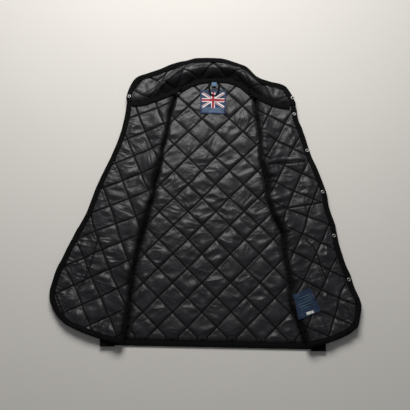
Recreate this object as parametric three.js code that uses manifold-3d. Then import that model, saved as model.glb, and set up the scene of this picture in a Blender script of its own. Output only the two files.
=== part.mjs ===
// Padded vest, diamond quilted, laid open on a flat surface with its lining up.
// Millimetres. +X is the wearer's left side, +Y points to the collar, +Z is up.
// Both fronts run in from the side seams, roll over and lie folded back outwards.
// Each panel is drawn as a flat cut whose height is the wall's thickness, then laid in place.

import * as THREE from 'three';
import { mergeVertices } from 'three/addons/utils/BufferGeometryUtils.js';
import Module from 'manifold-3d';

const wasm = await Module();
wasm.setup();

// Driving dimensions

const FOOTPRINT_CENTRE = { x: -0.65, y: 23.55 };
const SEAM_GAP = 0.3;
const BACK_CENTRE_X = 18.5;

const BACK_BOX = [-256, -345, 292, 350];
const FRONT_BOX = [-200, -10, 290, 690];
const FAR = 480;
const PAST_EDGE = 40;
const CUTTER = { low: -20, high: 60 };
const ARMHOLE_STEPS = 16;
const NECK_STEPS = 72;
const QUILT = { diagonal: 71.8, cells: 3, channel: 2.4, crown: 6.4, puffiness: 0.5 };
const NECK_BAND = 18;
const WALL = { backHidden: 5.0, frontHidden: 3.0, edge: 3.2, edgeBand: 16 };
const COVER = { from: 30, run: 18 };
const FOLD_CLEAR = { backRight: 4, backLeft: 2, front: 8 };
const CREASE = { start: -4, cutStart: -16, cutPast: 8, cutWidth: 3 };
const ROLL = {
  developed: 17, innerAtNeck: 1.5, inner: 3, wall: 5, openingLength: 120, bends: 3, free: 5.5, freeRun: 7,
};
const REST = {
  overLayers: 9, settle: 45, sideHalf: 268, armholeIn: 60, armpitY: 75,
  sideDrop: 6.5, sideRun: 70, hemLift: 3, hemLiftY: -285, hemLiftRun: 30,
  cornerLift: 9, cornerLiftY: -190, cornerLiftRun: 110,
};
const BINDING = { width: 14, height: 5.2, heightInRoll: 3, edgeRadius: 2, steps: 50, rollSteps: 4, gap: 0.5 };
const COLLAR = {
  riseFrom: 70, riseRun: 45, rise: 9, droop: 0.55, droopRun: 60, stand: 15, standRun: 40, standBlend: 26,
  quilt: { origin: [207, 2], turn: 0 }, box: [-10, -6, 10, 84],
};
const NECK_TAPE = {
  width: 14, thickness: 1.2, steps: 46, endInset: 15.5, seamInset: 0.6, rollReach: 9, clear: 15, lead: 10,
  overFront: 4.4, overBack: 4.2,
};
const TAB = { length: 36, height: 30, thickness: 2, below: 3.5 };
const SNAP = { radius: 5.6, height: 1.8, rim: 0.7, shoulder: 0.9, hole: 2.4, recess: 1, sides: 10, lift: 0.8 };
const PATCH = { lift: 0.35, frontLift: 0.55, thickness: 0.9 };
const WELT_CLOTH = 2.6;
const RAISED = 1;

const COLOUR = {
  lining: 0x1c1b1d, braid: 0x0d0d0e, navy: 0x1a2238, pale: 0xa9bfd2, white: 0xe4e4e0, nickel: 0xb8b8b6,
};

// Tables

// Gives each row of a table its column names.
function table(columns, rows) {
  const names = columns.split(' ');
  return rows.map((row) => Object.fromEntries(names.map((name, i) => [name, row[i]])));
}

// Where the collar joins the body and where its outer edge lies, across the neck from -X to +X.
const COLLAR_ROWS = table('neckX neckY topX topY', [
  [-206, 275, -208, 292],
  [-168, 277, -187, 345],
  [-134, 288, -150, 362],
  [-102, 300, -118, 374],
  [-72, 315, -88, 388],
  [-42, 333, -60, 397.5],
  [-8, 344, -18, 399.5],
  [28, 347, 28, 399.5],
  [64, 345, 72, 395],
  [98, 331, 108, 383],
  [126, 307, 140, 350],
  [158, 285, 172, 337],
  [196, 271, 214, 323],
  [239, 265, 239, 272],
]);

// Rolled creases where the collar turns over from the back to the fronts.
const COLLAR_RIDGES = table('fromX fromY toX toY height halfWidth', [
  [-56, 382, -127, 313, 7, 10],
  [83, 380, 154, 302, 7, 10],
]);

// The wearer's right front, on the -X side.
const RIGHT = {
  name: 'right',
  side: -1,
  foldTop: [-77, 303],
  foldBottom: [-194, -340],
  foldShift: table('along out', [
    [0, 0], [100, 4], [230, 4], [340, 7], [420, 15], [500, 13], [580, 4], [650, 0],
  ]),
  quilt: { origin: [-240.6, -5.2], turn: -22.2 },
  edge: table('x y', [
    [-206, 274.5], [-211.5, 233], [-222.5, 184], [-245, 123], [-276, 48], [-314, -50], [-352, -132],
    [-373, -185], [-380, -222], [-372, -255], [-345, -291], [-309, -311], [-252, -332], [-212, -342],
  ]),
  lowerHem: table('x y', [[-210, -346], [-232, -346], [-252, -346]]),
  underarm: table('x y', [[-252, -346], [-249, -150], [-243.5, 75]]),
  armhole: table('x y', [[-243.5, 75], [-204, 105], [-184, 150], [-182, 200], [-195, 260]]),
  creases: table('along reach width height slant', [
    [88, 30, 9, 2.2, 0.3], [176, 34, 9, 2.2, -0.1], [262, 40, 10, 2.6, 0.1], [352, 34, 9, 2.4, 0.1],
    [447, 44, 10, 2.8, -0.3], [535, 40, 10, 2.6, -0.4],
  ]),
};

// The wearer's left front, on the +X side.
const LEFT = {
  name: 'left',
  side: 1,
  foldTop: [130, 297],
  foldBottom: [243, -350],
  foldShift: table('along out', [
    [0, 0], [60, -4], [100, -9], [200, -16], [260, -18], [320, -14], [385, -3], [440, -4], [500, -8],
    [550, -14], [600, -6], [657, 0],
  ]),
  quilt: { origin: [156.9, 122.8], turn: 19.5 },
  edge: table('x y', [
    [239, 264.5], [243, 236], [254, 202], [277, 123], [305, 42], [323, -39], [339, -121], [360, -185],
    [376, -236], [377, -270], [364, -306], [333, -327], [288, -343], [258, -349],
  ]),
  lowerHem: table('x y', [[256, -356.5], [272, -357], [289, -357]]),
  underarm: table('x y', [[289, -357], [286, -150], [280.5, 75]]),
  armhole: table('x y', [[280.5, 75], [241, 105], [221, 150], [219, 200], [226, 252]]),
  creases: table('along reach width height slant', [
    [74, 44, 10, 3.0, 0.5], [112, 60, 11, 4.2, 0.3], [150, 40, 11, 4.8, 0.1], [186, 32, 10, 3.8, 0],
    [222, 72, 11, 5.0, 0], [259, 56, 10, 4.0, -0.1], [296, 74, 11, 5.0, -0.2], [335, 58, 11, 4.2, -0.3],
    [376, 64, 11, 3.8, -0.4], [430, 46, 10, 2.8, -0.4], [500, 52, 10, 2.6, -0.3],
  ]),
};

const BACK_HEM = { leftX: -252, rightX: 289, leftY: -346, rightY: -357 };

const NECK_LABEL = [[-12, 313], [57, 313], [54, 245], [-13, 247]];
const SIZE_TAB = [[17.5, 334], [32, 334], [31, 321], [16.5, 321]];
const CARE_LABEL = [[220.5, -226], [257.5, -213.5], [281, -268], [236, -282.5]];
const CARE_PATCH = [[243, -270], [261, -264.6], [263, -270.6], [245, -276.6]];
const POCKET_WELT = [[190, 121], [222, 125], [258, 128], [258, 115], [222, 112], [190, 108]];
const LOOP = {
  centreX: 24, topY: 330, halfSpan: 12, drop: 32, fullness: 0.6, width: 4, thickness: 1.2, steps: 14, bed: 7.4,
};

const SNAP_ROWS = table('name x y', [
  ['snap_collar_right', -200, 291], ['snap_collar_left', 231, 287],
  ['snap_1', 234, 241], ['snap_2', 264, 142], ['snap_3', 298, 30.5], ['snap_4', 322, -81],
  ['snap_5', 353.5, -190],
]);

// Small helpers

const clamp01 = (v) => Math.min(1, Math.max(0, v));
const smooth = (v) => clamp01(v) ** 2 * (3 - 2 * clamp01(v));
const mix = (a, b, f) => a + (b - a) * f;

// Reads one column of a table between its rows.
function readTable(rows, column, value, at) {
  if (at <= rows[0][column]) return rows[0][value];
  for (let i = 1; i < rows.length; i += 1) {
    if (at <= rows[i][column]) {
      const f = (at - rows[i - 1][column]) / (rows[i][column] - rows[i - 1][column]);
      return mix(rows[i - 1][value], rows[i][value], smooth(f));
    }
  }
  return rows[rows.length - 1][value];
}

// A smooth curve through flat points, sampled evenly.
function curveThrough(points, steps) {
  const curve = new THREE.CatmullRomCurve3(points.map(([x, y]) => new THREE.Vector3(x, y, 0)));
  return curve.getSpacedPoints(steps).map((v) => [v.x, v.y]);
}

// The unit normal to the left of a flat path at each of its points.
function leftNormals(path) {
  return path.map((_, i) => {
    const a = path[Math.max(0, i - 1)];
    const b = path[Math.min(path.length - 1, i + 1)];
    const length = Math.hypot(b[0] - a[0], b[1] - a[1]);
    return [-(b[1] - a[1]) / length, (b[0] - a[0]) / length];
  });
}

function offsetPath(path, distance) {
  const normals = leftNormals(path);
  return path.map(([x, y], i) => [x + normals[i][0] * distance, y + normals[i][1] * distance]);
}

// Distance from a point to a run of straight stretches.
function distanceTo(path, x, y) {
  let best = Infinity;
  for (let i = 1; i < path.length; i += 1) {
    const [ax, ay] = path[i - 1];
    const dx = path[i][0] - ax;
    const dy = path[i][1] - ay;
    const f = clamp01(((x - ax) * dx + (y - ay) * dy) / (dx * dx + dy * dy));
    best = Math.min(best, Math.hypot(x - ax - f * dx, y - ay - f * dy));
  }
  return best;
}

// Closed bodies as lists of points and triangles

function toManifold({ points, triangles }) {
  const used = [...new Set(triangles.flat())];
  const place = new Map(used.map((n, i) => [n, i]));
  return new wasm.Manifold(new wasm.Mesh({
    numProp: 3,
    vertProperties: new Float32Array(used.flatMap((n) => points[n])),
    triVerts: new Uint32Array(triangles.flat().map((n) => place.get(n))),
  }));
}

function fromManifold(manifold) {
  const mesh = manifold.getMesh();
  const points = [];
  const triangles = [];
  for (let i = 0; i < mesh.vertProperties.length; i += mesh.numProp) {
    points.push(Array.from(mesh.vertProperties.slice(i, i + 3)));
  }
  for (let i = 0; i < mesh.triVerts.length; i += 3) {
    triangles.push(Array.from(mesh.triVerts.slice(i, i + 3)));
  }
  return { points, triangles };
}

function volumeOf({ points, triangles }) {
  return triangles.reduce((sum, [a, b, c]) => {
    const [p, q, r] = [points[a], points[b], points[c]];
    return sum + (p[0] * (q[1] * r[2] - q[2] * r[1]) - p[1] * (q[0] * r[2] - q[2] * r[0])
      + p[2] * (q[0] * r[1] - q[1] * r[0])) / 6;
  }, 0);
}

// Turns the triangles round where they face inwards.
function facingOut(body) {
  if (volumeOf(body) > 0) return body;
  return { points: body.points, triangles: body.triangles.map(([a, b, c]) => [a, c, b]) };
}

const outlineArea = (outline) => THREE.ShapeUtils.area(outline.map(([x, y]) => new THREE.Vector2(x, y)));

// Fills a flat outline with triangles that all turn anticlockwise.
function fillOutline(outline) {
  const corners = outline.map(([x, y]) => new THREE.Vector2(x, y));
  const faces = THREE.ShapeUtils.triangulateShape(corners, []);
  const turn = faces.reduce((sum, face) => sum + THREE.ShapeUtils.area(face.map((n) => corners[n])), 0);
  return turn < 0 ? faces.map(([a, b, c]) => [a, c, b]) : faces;
}

// A flat outline carried up from one height to another. Corners on a straight edge are left out.
function prism(outline, low, high) {
  const path = outlineArea(outline) > 0 ? outline : outline.slice().reverse();
  const needed = new Set(fillOutline(path).flat());
  if (needed.size < path.length) return prism(path.filter((_, i) => needed.has(i)), low, high);
  const count = path.length;
  const points = [...path.map(([x, y]) => [x, y, low]), ...path.map(([x, y]) => [x, y, high])];
  const triangles = [];
  for (const [a, b, c] of fillOutline(path)) {
    triangles.push([a, c, b], [a + count, b + count, c + count]);
  }
  for (let i = 0; i < count; i += 1) {
    const j = (i + 1) % count;
    triangles.push([i, j, j + count], [i, j + count, i + count]);
  }
  return { points, triangles };
}

// A row of equal sections joined into one closed body.
function loft(sections) {
  const ring = sections[0].length;
  const points = sections.flat();
  const triangles = [];
  for (let i = 0; i + 1 < sections.length; i += 1) {
    for (let j = 0; j < ring; j += 1) {
      const k = (j + 1) % ring;
      const [a, b] = [i * ring + j, i * ring + k];
      triangles.push([a, b, b + ring], [a, b + ring, a + ring]);
    }
  }
  const last = (sections.length - 1) * ring;
  for (let j = 1; j + 1 < ring; j += 1) {
    triangles.push([0, j + 1, j], [last, last + j, last + j + 1]);
  }
  return facingOut({ points, triangles });
}

// Splits the edges that cross a line, so that the body can bend there.
function score(body, lineValue, mayCut = () => true) {
  const near = 0.02;
  const points = body.points.slice();
  const values = points.map(lineValue);
  const cuts = new Map();
  const cutOf = (a, b) => {
    const [i, j] = a < b ? [a, b] : [b, a];
    if (values[i] * values[j] >= 0 || Math.min(Math.abs(values[i]), Math.abs(values[j])) < near) return -1;
    if (!mayCut(points[i], points[j])) return -1;
    const key = i * 1e6 + j;
    if (!cuts.has(key)) {
      const f = values[i] / (values[i] - values[j]);
      cuts.set(key, points.length);
      points.push(points[i].map((v, n) => mix(v, points[j][n], f)));
    }
    return cuts.get(key);
  };
  const triangles = [];
  for (const [a, b, c] of body.triangles) {
    const ab = cutOf(a, b);
    const bc = cutOf(b, c);
    const ca = cutOf(c, a);
    const found = [ab, bc, ca].filter((cut) => cut >= 0).length;
    if (found === 0) triangles.push([a, b, c]);
    else if (found === 1) {
      if (ab >= 0) triangles.push([a, ab, c], [ab, b, c]);
      else if (bc >= 0) triangles.push([a, b, bc], [a, bc, c]);
      else triangles.push([a, b, ca], [ca, b, c]);
    } else if (ab < 0) triangles.push([c, ca, bc], [ca, a, bc], [a, b, bc]);
    else if (bc < 0) triangles.push([a, ab, ca], [ab, b, ca], [b, c, ca]);
    else triangles.push([b, bc, ab], [a, ab, bc], [a, bc, c]);
  }
  return { points, triangles };
}

function laid(body, place) {
  return facingOut({ points: body.points.map(([x, y, t]) => place(x, y, t)), triangles: body.triangles });
}

// Quilting

// The swell of a padded square between its stitched channels, from 0 to 1.
function swell(alpha, beta) {
  return Math.abs(Math.sin(Math.PI * alpha) * Math.sin(Math.PI * beta)) ** QUILT.puffiness;
}

// A slab over a box of the cut. Its grid follows the quilting, so the channels are straight edges,
// and a square that is plain all over is left coarse. Without an underside of its own it is flat.
function quiltedSlab({ origin, turn, box, warp = (x, y) => [x, y], top, bottom = null }) {
  const { cells } = QUILT;
  const angle = THREE.MathUtils.degToRad(turn);
  const [cos, sin] = [Math.cos(angle), Math.sin(angle)];
  const corners = [[box[0], box[1]], [box[2], box[1]], [box[0], box[3]], [box[2], box[3]]];
  const lattice = corners.map(([x, y]) => {
    const [dx, dy] = [x - origin[0], y - origin[1]];
    const [along, up] = [cos * dx + sin * dy, -sin * dx + cos * dy];
    return [(along + up) / QUILT.diagonal, (along - up) / QUILT.diagonal];
  });
  const [first, second] = [0, 1].map((n) => {
    const values = lattice.map((v) => v[n]);
    return { from: Math.floor(Math.min(...values) - 0.2), to: Math.ceil(Math.max(...values) + 0.2) };
  });
  const rows = (first.to - first.from) * cells + 1;
  const columns = (second.to - second.from) * cells + 1;
  const points = [];
  for (let i = 0; i < rows; i += 1) {
    for (let j = 0; j < columns; j += 1) {
      const [alpha, beta] = [first.from + i / cells, second.from + j / cells];
      const [along, up] = [(alpha + beta) * QUILT.diagonal / 2, (alpha - beta) * QUILT.diagonal / 2];
      const [u, v] = [origin[0] + cos * along - sin * up, origin[1] + sin * along + cos * up];
      points.push([...warp(u, v), top(u, v, swell(alpha, beta))]);
    }
  }
  const at = (i, j) => i * columns + j;
  const isPlain = (row, column) => {
    if (bottom || row < 0 || column < 0 || row >= rows - 1 || column >= columns - 1) return false;
    for (let i = 0; i <= cells; i += 1) {
      for (let j = 0; j <= cells; j += 1) {
        if (Math.abs(points[at(row + i, column + j)][2] - points[at(row, column)][2]) > 1e-6) return false;
      }
    }
    return true;
  };
  const faces = [];
  for (let row = 0; row + 1 < rows; row += cells) {
    for (let column = 0; column + 1 < columns; column += cells) {
      if (isPlain(row, column)) faces.push(...plainSquare(at, isPlain, row, column, cells));
      else faces.push(...paddedSquare(at, row, column, cells));
    }
  }
  const sides = [[], [], [], []];
  for (let i = 0; i < rows; i += 1) {
    sides[0].push(at(i, 0));
    sides[2].unshift(at(i, columns - 1));
  }
  for (let j = 0; j < columns; j += 1) {
    sides[1].push(at(rows - 1, j));
    sides[3].unshift(at(0, j));
  }
  const base = points.length;
  for (let n = 0; n < base; n += 1) {
    points.push([points[n][0], points[n][1], bottom ? bottom(points[n][2]) : 0]);
  }
  const below = [];
  for (let row = 0; !bottom && row + 1 < rows; row += cells) {
    for (let column = 0; column + 1 < columns; column += cells) {
      below.push(...plainSquare(at, () => true, row, column, cells));
    }
  }
  const triangles = faces.slice();
  triangles.push(...(bottom ? faces : below).map(([a, b, c]) => [a + base, c + base, b + base]));
  const stride = bottom ? 1 : cells;
  for (const side of sides) {
    for (let n = 0; n + 1 < side.length; n += 1) {
      const foot = side[n - (n % stride)] + base;
      triangles.push([side[n + 1], side[n], foot]);
      if ((n + 1) % stride === 0) triangles.push([side[n + 1], foot, side[n + 1] + base]);
    }
  }
  return facingOut({ points, triangles });
}

// One padded square as a grid whose diagonals run from its middle to its corners.
function paddedSquare(at, row, column, cells) {
  const faces = [];
  for (let i = 0; i < cells; i += 1) {
    for (let j = 0; j < cells; j += 1) {
      const [a, b] = [at(row + i, column + j), at(row + i + 1, column + j)];
      const [c, d] = [at(row + i + 1, column + j + 1), at(row + i, column + j + 1)];
      if ((i < cells / 2) === (j < cells / 2)) faces.push([a, b, c], [a, c, d]);
      else faces.push([a, b, d], [b, c, d]);
    }
  }
  return faces;
}

// One plain square, split only where its neighbours are.
function plainSquare(at, isPlain, row, column, cells) {
  const middle = at(row + Math.floor(cells / 2), column + Math.floor(cells / 2));
  const edges = [
    { start: [0, 0], step: [1, 0], across: [0, -1] },
    { start: [cells, 0], step: [0, 1], across: [1, 0] },
    { start: [cells, cells], step: [-1, 0], across: [0, 1] },
    { start: [0, cells], step: [0, -1], across: [-1, 0] },
  ];
  const faces = [];
  for (const { start, step, across } of edges) {
    const stride = isPlain(row + across[0] * cells, column + across[1] * cells) ? cells : 1;
    for (let n = 0; n < cells; n += stride) {
      const [i, j] = [row + start[0] + step[0] * n, column + start[1] + step[1] * n];
      faces.push([middle, at(i, j), at(i + step[0] * stride, j + step[1] * stride)]);
    }
  }
  return faces;
}

// Cuts a slab to one or more outlines.
function cutTo(slab, ...outlines) {
  const cutters = outlines.map((outline) => toManifold(prism(outline, CUTTER.low, CUTTER.high)));
  return fromManifold(cutters.reduce((rest, cutter) => rest.intersect(cutter), toManifold(slab)));
}

// The wall's height at a place of the quilting, sinking towards the edges.
function quiltedWall(swelling, edgeDistance) {
  const full = QUILT.channel + (QUILT.crown - QUILT.channel) * swelling;
  return mix(Math.min(full, WALL.edge), full, smooth(edgeDistance / WALL.edgeBand));
}

// The neck line and the collar's outer edge

const neckCurve = new THREE.CatmullRomCurve3(COLLAR_ROWS.map((r) => new THREE.Vector3(r.neckX, r.neckY, 0)));
const collarCurve = new THREE.CatmullRomCurve3(COLLAR_ROWS.map((r) => new THREE.Vector3(r.topX, r.topY, 0)));
const neckLine = Array.from({ length: NECK_STEPS + 1 }, (_, i) => {
  const v = neckCurve.getPoint(i / NECK_STEPS);
  return [v.x, v.y];
});
const collarLine = Array.from({ length: NECK_STEPS + 1 }, (_, i) => {
  const v = collarCurve.getPoint(i / NECK_STEPS);
  return [v.x, v.y];
});

// Laying a front: along the fold, out from the fold, and up

function frontFrame(front) {
  const [tx, ty] = front.foldTop;
  const [bx, by] = front.foldBottom;
  const length = Math.hypot(bx - tx, by - ty);
  const along = [(bx - tx) / length, (by - ty) / length];
  const out = [-along[1] * front.side, along[0] * front.side];
  return { ...front, along, out, length };
}

const rollInner = (q) => mix(ROLL.innerAtNeck, ROLL.inner, smooth(q / ROLL.openingLength));
const rollCentre = (q) => rollInner(q) + ROLL.wall;

function foldCoordinates(frame, x, y) {
  const [dx, dy] = [x - frame.foldTop[0], y - frame.foldTop[1]];
  const q = dx * frame.along[0] + dy * frame.along[1];
  const s = dx * frame.out[0] + dy * frame.out[1] - readTable(frame.foldShift, 'along', 'out', q);
  return { s, q };
}

function layOut(frame, s, q, z) {
  const out = s + readTable(frame.foldShift, 'along', 'out', q);
  return [
    frame.foldTop[0] + frame.along[0] * q + frame.out[0] * out,
    frame.foldTop[1] + frame.along[1] * q + frame.out[1] * out,
    z,
  ];
}

// From a laid place on the upper layer, or the hidden lower one, to the flat cut.
function upperCut(frame, x, y) {
  const { s, q } = foldCoordinates(frame, x, y);
  return [ROLL.developed + s - rollCentre(q), q];
}

function lowerCut(frame, x, y) {
  const { s, q } = foldCoordinates(frame, x, y);
  return [rollCentre(q) - s, q];
}

// Height of the upper layer's plain face over the ground.
function restHeight(frame, x, y) {
  const { s, q } = foldCoordinates(frame, x, y);
  const lowerTop = WALL.backHidden + SEAM_GAP + WALL.frontHidden;
  const atRoll = lowerTop + 2 * rollInner(q) - REST.overLayers;
  const half = REST.sideHalf - REST.armholeIn * smooth((y - REST.armpitY) / REST.armholeIn);
  const beyond = frame.side * (x - BACK_CENTRE_X) - half;
  return REST.overLayers
    + atRoll * (1 - smooth((s - rollCentre(q)) / REST.settle))
    - REST.sideDrop * smooth(beyond / REST.sideRun)
    + REST.hemLift * smooth((REST.hemLiftY - y) / REST.hemLiftRun)
    + REST.cornerLift * smooth((REST.cornerLiftY - y) / REST.cornerLiftRun) * smooth(beyond / REST.sideRun);
}

// The most that the wall may swell while the roll still faces what it lies on.
function rollAllowance(p) {
  const third = ROLL.developed / 3;
  return WALL.frontHidden + ROLL.wall * clamp01(p / third - 1) + 3 * ROLL.wall * clamp01(p / third - 2);
}

function layFront(frame, p, q, height) {
  const t = Math.min(height, rollAllowance(p));
  const inner = rollInner(q);
  const middle = WALL.backHidden + SEAM_GAP + WALL.frontHidden + inner;
  if (p <= 0) return layOut(frame, rollCentre(q) - p, q, middle - inner - t);
  if (p < ROLL.developed) {
    const turn = Math.PI * p / ROLL.developed;
    const s = rollCentre(q) - (inner + t) * Math.sin(turn);
    return layOut(frame, s, q, middle - (inner + t) * Math.cos(turn));
  }
  const [x, y] = layOut(frame, rollCentre(q) + p - ROLL.developed, q, 0);
  return [x, y, restHeight(frame, x, y) + t];
}

// How far the roll has turned over, from 0 where it lies on the back to 1 where it is free.
const turnedOver = (p) => smooth((p - ROLL.free) / ROLL.freeRun);

// How far a place lies out along a crease, and how far off its ridge.
function onCrease(row, p, q) {
  const s = p - ROLL.developed / 2;
  return { s, off: (q - row.along - row.slant * s) / row.width };
}

// Gathers that run out from the fold.
function creaseHeight(frame, p, q) {
  return frame.creases.reduce((sum, row) => {
    const { s, off } = onCrease(row, p, q);
    if (s < CREASE.start || s > row.reach || Math.abs(off) >= 1) return sum;
    return sum + row.height * (1 - smooth(s / row.reach)) * (1 - off * off) ** 2;
  }, 0);
}

// Cuts the wall's raised side along each crease's ridge, then lifts it there.
function raiseCreases(frame, body) {
  let scored = body;
  for (const row of frame.creases) {
    const near = ([p, q, t]) => {
      const { s, off } = onCrease(row, p, q);
      if (t <= RAISED || Math.abs(off) >= CREASE.cutWidth) return false;
      return s > CREASE.cutStart && s < row.reach + CREASE.cutPast;
    };
    scored = score(scored, ([p, q]) => onCrease(row, p, q).off, (a, b) => near(a) && near(b));
  }
  const points = scored.points.map(([p, q, t]) => [p, q, t > RAISED ? t + creaseHeight(frame, p, q) : t]);
  return { points, triangles: scored.triangles };
}

// Pieces

const group = new THREE.Group();

function finish(colour, roughness, metalness = 0) {
  return new THREE.MeshStandardMaterial({ color: colour, roughness, metalness });
}

const FINISH = {
  lining: finish(COLOUR.lining, 0.42),
  braid: finish(COLOUR.braid, 0.9),
  navy: finish(COLOUR.navy, 0.8),
  pale: finish(COLOUR.pale, 0.8),
  white: finish(COLOUR.white, 0.85),
  nickel: finish(COLOUR.nickel, 0.3, 1),
};

function addPiece(name, body, material) {
  const geometry = new THREE.BufferGeometry();
  geometry.setAttribute('position', new THREE.Float32BufferAttribute(body.points.flat(), 3));
  geometry.setIndex(body.triangles.flat());
  geometry.computeVertexNormals();
  const mesh = new THREE.Mesh(geometry, material);
  mesh.name = name;
  group.add(mesh);
}

// The folded braid: a rounded strip along a path of the cut, wide to the path's left.
function bindingBody(path, place, heightAt = () => BINDING.height) {
  const { width, edgeRadius } = BINDING;
  const normals = leftNormals(path);
  const sections = path.map(([x, y], i) => {
    const high = heightAt(x, y);
    const section = [[width, 0], [edgeRadius, 0], [0, high / 2], [edgeRadius, high], [width, high]];
    return section.map(([inward, t]) => place(x + normals[i][0] * inward, y + normals[i][1] * inward, t));
  });
  return loft(sections);
}

const flatOnGround = (x, y, t) => [x, y, t];

// Back

const rightFrame = frontFrame(RIGHT);
const leftFrame = frontFrame(LEFT);
const backHemLine = [[BACK_HEM.leftX, BACK_HEM.leftY], [BACK_HEM.rightX, BACK_HEM.rightY]];

function backOutline() {
  const inset = BINDING.width + SEAM_GAP;
  const [from, to] = [RIGHT.foldTop[0] - FOLD_CLEAR.backRight, LEFT.foldTop[0] + FOLD_CLEAR.backLeft];
  const between = neckLine.filter(([x]) => x > from && x < to);
  const neck = offsetPath(between, -SEAM_GAP);
  const armhole = (front) => curveThrough(front.armhole.map((r) => [r.x, r.y]), ARMHOLE_STEPS);
  const side = (front) => front.underarm.map((r) => [r.x, r.y]);
  const hemLeft = [BACK_HEM.leftX, BACK_HEM.leftY + inset];
  const hemRight = [BACK_HEM.rightX, BACK_HEM.rightY + inset];
  const leftEdge = [hemRight, ...side(LEFT).slice(1, -1), ...armhole(LEFT)];
  const rightEdge = [hemLeft, ...side(RIGHT).slice(1, -1), ...armhole(RIGHT)];
  return [...leftEdge, ...neck.reverse(), ...rightEdge.reverse()];
}

// How much of the back's quilting a fold presses flat, from 0 well inside the opening to 1.
const coveredShare = (s) => smooth((s + COVER.from) / COVER.run);

function backTop(x, y, swelling) {
  const rightOut = foldCoordinates(rightFrame, x, y).s;
  const leftOut = foldCoordinates(leftFrame, x, y).s;
  const covered = coveredShare(Math.max(rightOut, leftOut));
  const across = (x - BACK_HEM.leftX) / (BACK_HEM.rightX - BACK_HEM.leftX);
  const hem = y - mix(BACK_HEM.leftY, BACK_HEM.rightY, across) - BINDING.width;
  const wall = quiltedWall(swelling, Math.min(hem, distanceTo(neckLine, x, y) - NECK_BAND));
  return mix(wall, WALL.backHidden, covered);
}

const BACK_QUILT = { origin: [28, -18], turn: 0 };

function makeBack() {
  const slab = quiltedSlab({ ...BACK_QUILT, box: BACK_BOX, top: backTop });
  addPiece('back', cutTo(slab, backOutline()), FINISH.lining);
  const [start, end] = backHemLine;
  const middle = [mix(start[0], end[0], 0.5), mix(start[1], end[1], 0.5)];
  const hem = bindingBody([start, middle, end], flatOnGround, () => WALL.backHidden);
  addPiece('back_hem_binding', hem, FINISH.braid);
}

// Fronts

// The bound edge in the flat cut: down the centre front, round the corner, in along the hem,
// through the roll and out again to the side seam.
function frontEdgePath(frame) {
  const upper = frame.edge.map((r) => upperCut(frame, r.x, r.y));
  const lower = frame.lowerHem.map((r) => lowerCut(frame, r.x, r.y));
  const path = curveThrough([...upper, ...lower], BINDING.steps);
  return path.flatMap((point, i) => {
    const next = path[i + 1] ?? point;
    const inRoll = Math.min(point[0], next[0]) < ROLL.developed && Math.max(point[0], next[0]) > 0;
    const parts = inRoll && next !== point ? BINDING.rollSteps : 1;
    return Array.from({ length: parts }, (_, n) => point.map((v, axis) => mix(v, next[axis], n / parts)));
  });
}

function extended(path, distance) {
  const [a, b] = [path[0], path[1]];
  const [y, z] = [path[path.length - 2], path[path.length - 1]];
  const stretch = (from, to) => {
    const length = Math.hypot(to[0] - from[0], to[1] - from[1]);
    return [to[0] + (to[0] - from[0]) / length * distance, to[1] + (to[1] - from[1]) / length * distance];
  };
  return [stretch(b, a), ...path, stretch(y, z)];
}

// A front's outlines in the flat cut: inside the bound edge, and inside its other seams.
function frontPanel(frame) {
  const edge = frontEdgePath(frame);
  const inner = extended(offsetPath(edge, BINDING.width + BINDING.gap), PAST_EDGE);
  const edgeOutline = [...inner, [-FAR, inner[inner.length - 1][1]], [-FAR, -FAR], [inner[0][0], -FAR]];
  const onFront = frame.side < 0
    ? neckLine.filter(([x]) => x < frame.foldTop[0] - FOLD_CLEAR.front)
    : neckLine.filter(([x]) => x > frame.foldTop[0] + FOLD_CLEAR.front).reverse();
  const neck = onFront.map(([x, y]) => upperCut(frame, x, y)).map(([p, q]) => [p, q + SEAM_GAP]);
  const armhole = curveThrough(frame.armhole.map((r) => [r.x, r.y]), ARMHOLE_STEPS).reverse();
  const side = frame.underarm.slice(0, -1).reverse();
  const bodyOutline = [
    ...neck,
    [ROLL.developed, SEAM_GAP], [0, SEAM_GAP],
    ...armhole.map(([x, y]) => lowerCut(frame, x, y)),
    ...side.map((r) => lowerCut(frame, r.x, r.y)),
    [lowerCut(frame, side[side.length - 1].x, side[side.length - 1].y)[0], frame.length + FAR],
    [neck[0][0] + FAR, frame.length + FAR],
    [neck[0][0] + FAR, neck[0][1]],
  ];
  return { edge, edgeOutline, bodyOutline, neck };
}

function frontQuilt(frame) {
  const { s, q } = foldCoordinates(frame, ...frame.quilt.origin);
  const origin = [ROLL.developed + s - rollCentre(q), q];
  const radians = THREE.MathUtils.degToRad(frame.quilt.turn);
  const up = [-Math.sin(radians), Math.cos(radians)];
  const upOut = up[0] * frame.out[0] + up[1] * frame.out[1];
  const upAlong = up[0] * frame.along[0] + up[1] * frame.along[1];
  return { origin, turn: THREE.MathUtils.radToDeg(Math.atan2(-upOut, upAlong)) };
}

function frontTop(frame, panel, p, q, swelling) {
  if (p < 0) return WALL.frontHidden;
  const fromEdge = distanceTo(panel.edge, p, q) - BINDING.width;
  const fromNeck = distanceTo(panel.neck, p, q) - NECK_BAND;
  const wall = quiltedWall(swelling, Math.min(fromEdge, fromNeck));
  return mix(WALL.frontHidden, wall, turnedOver(p));
}

// Lines of the cut where a front bends round the roll.
function scoreForLaying(body) {
  let scored = body;
  for (let i = 0; i <= ROLL.bends; i += 1) {
    const line = ROLL.developed * i / ROLL.bends;
    scored = score(scored, ([p]) => p - line);
  }
  return scored;
}

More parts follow.
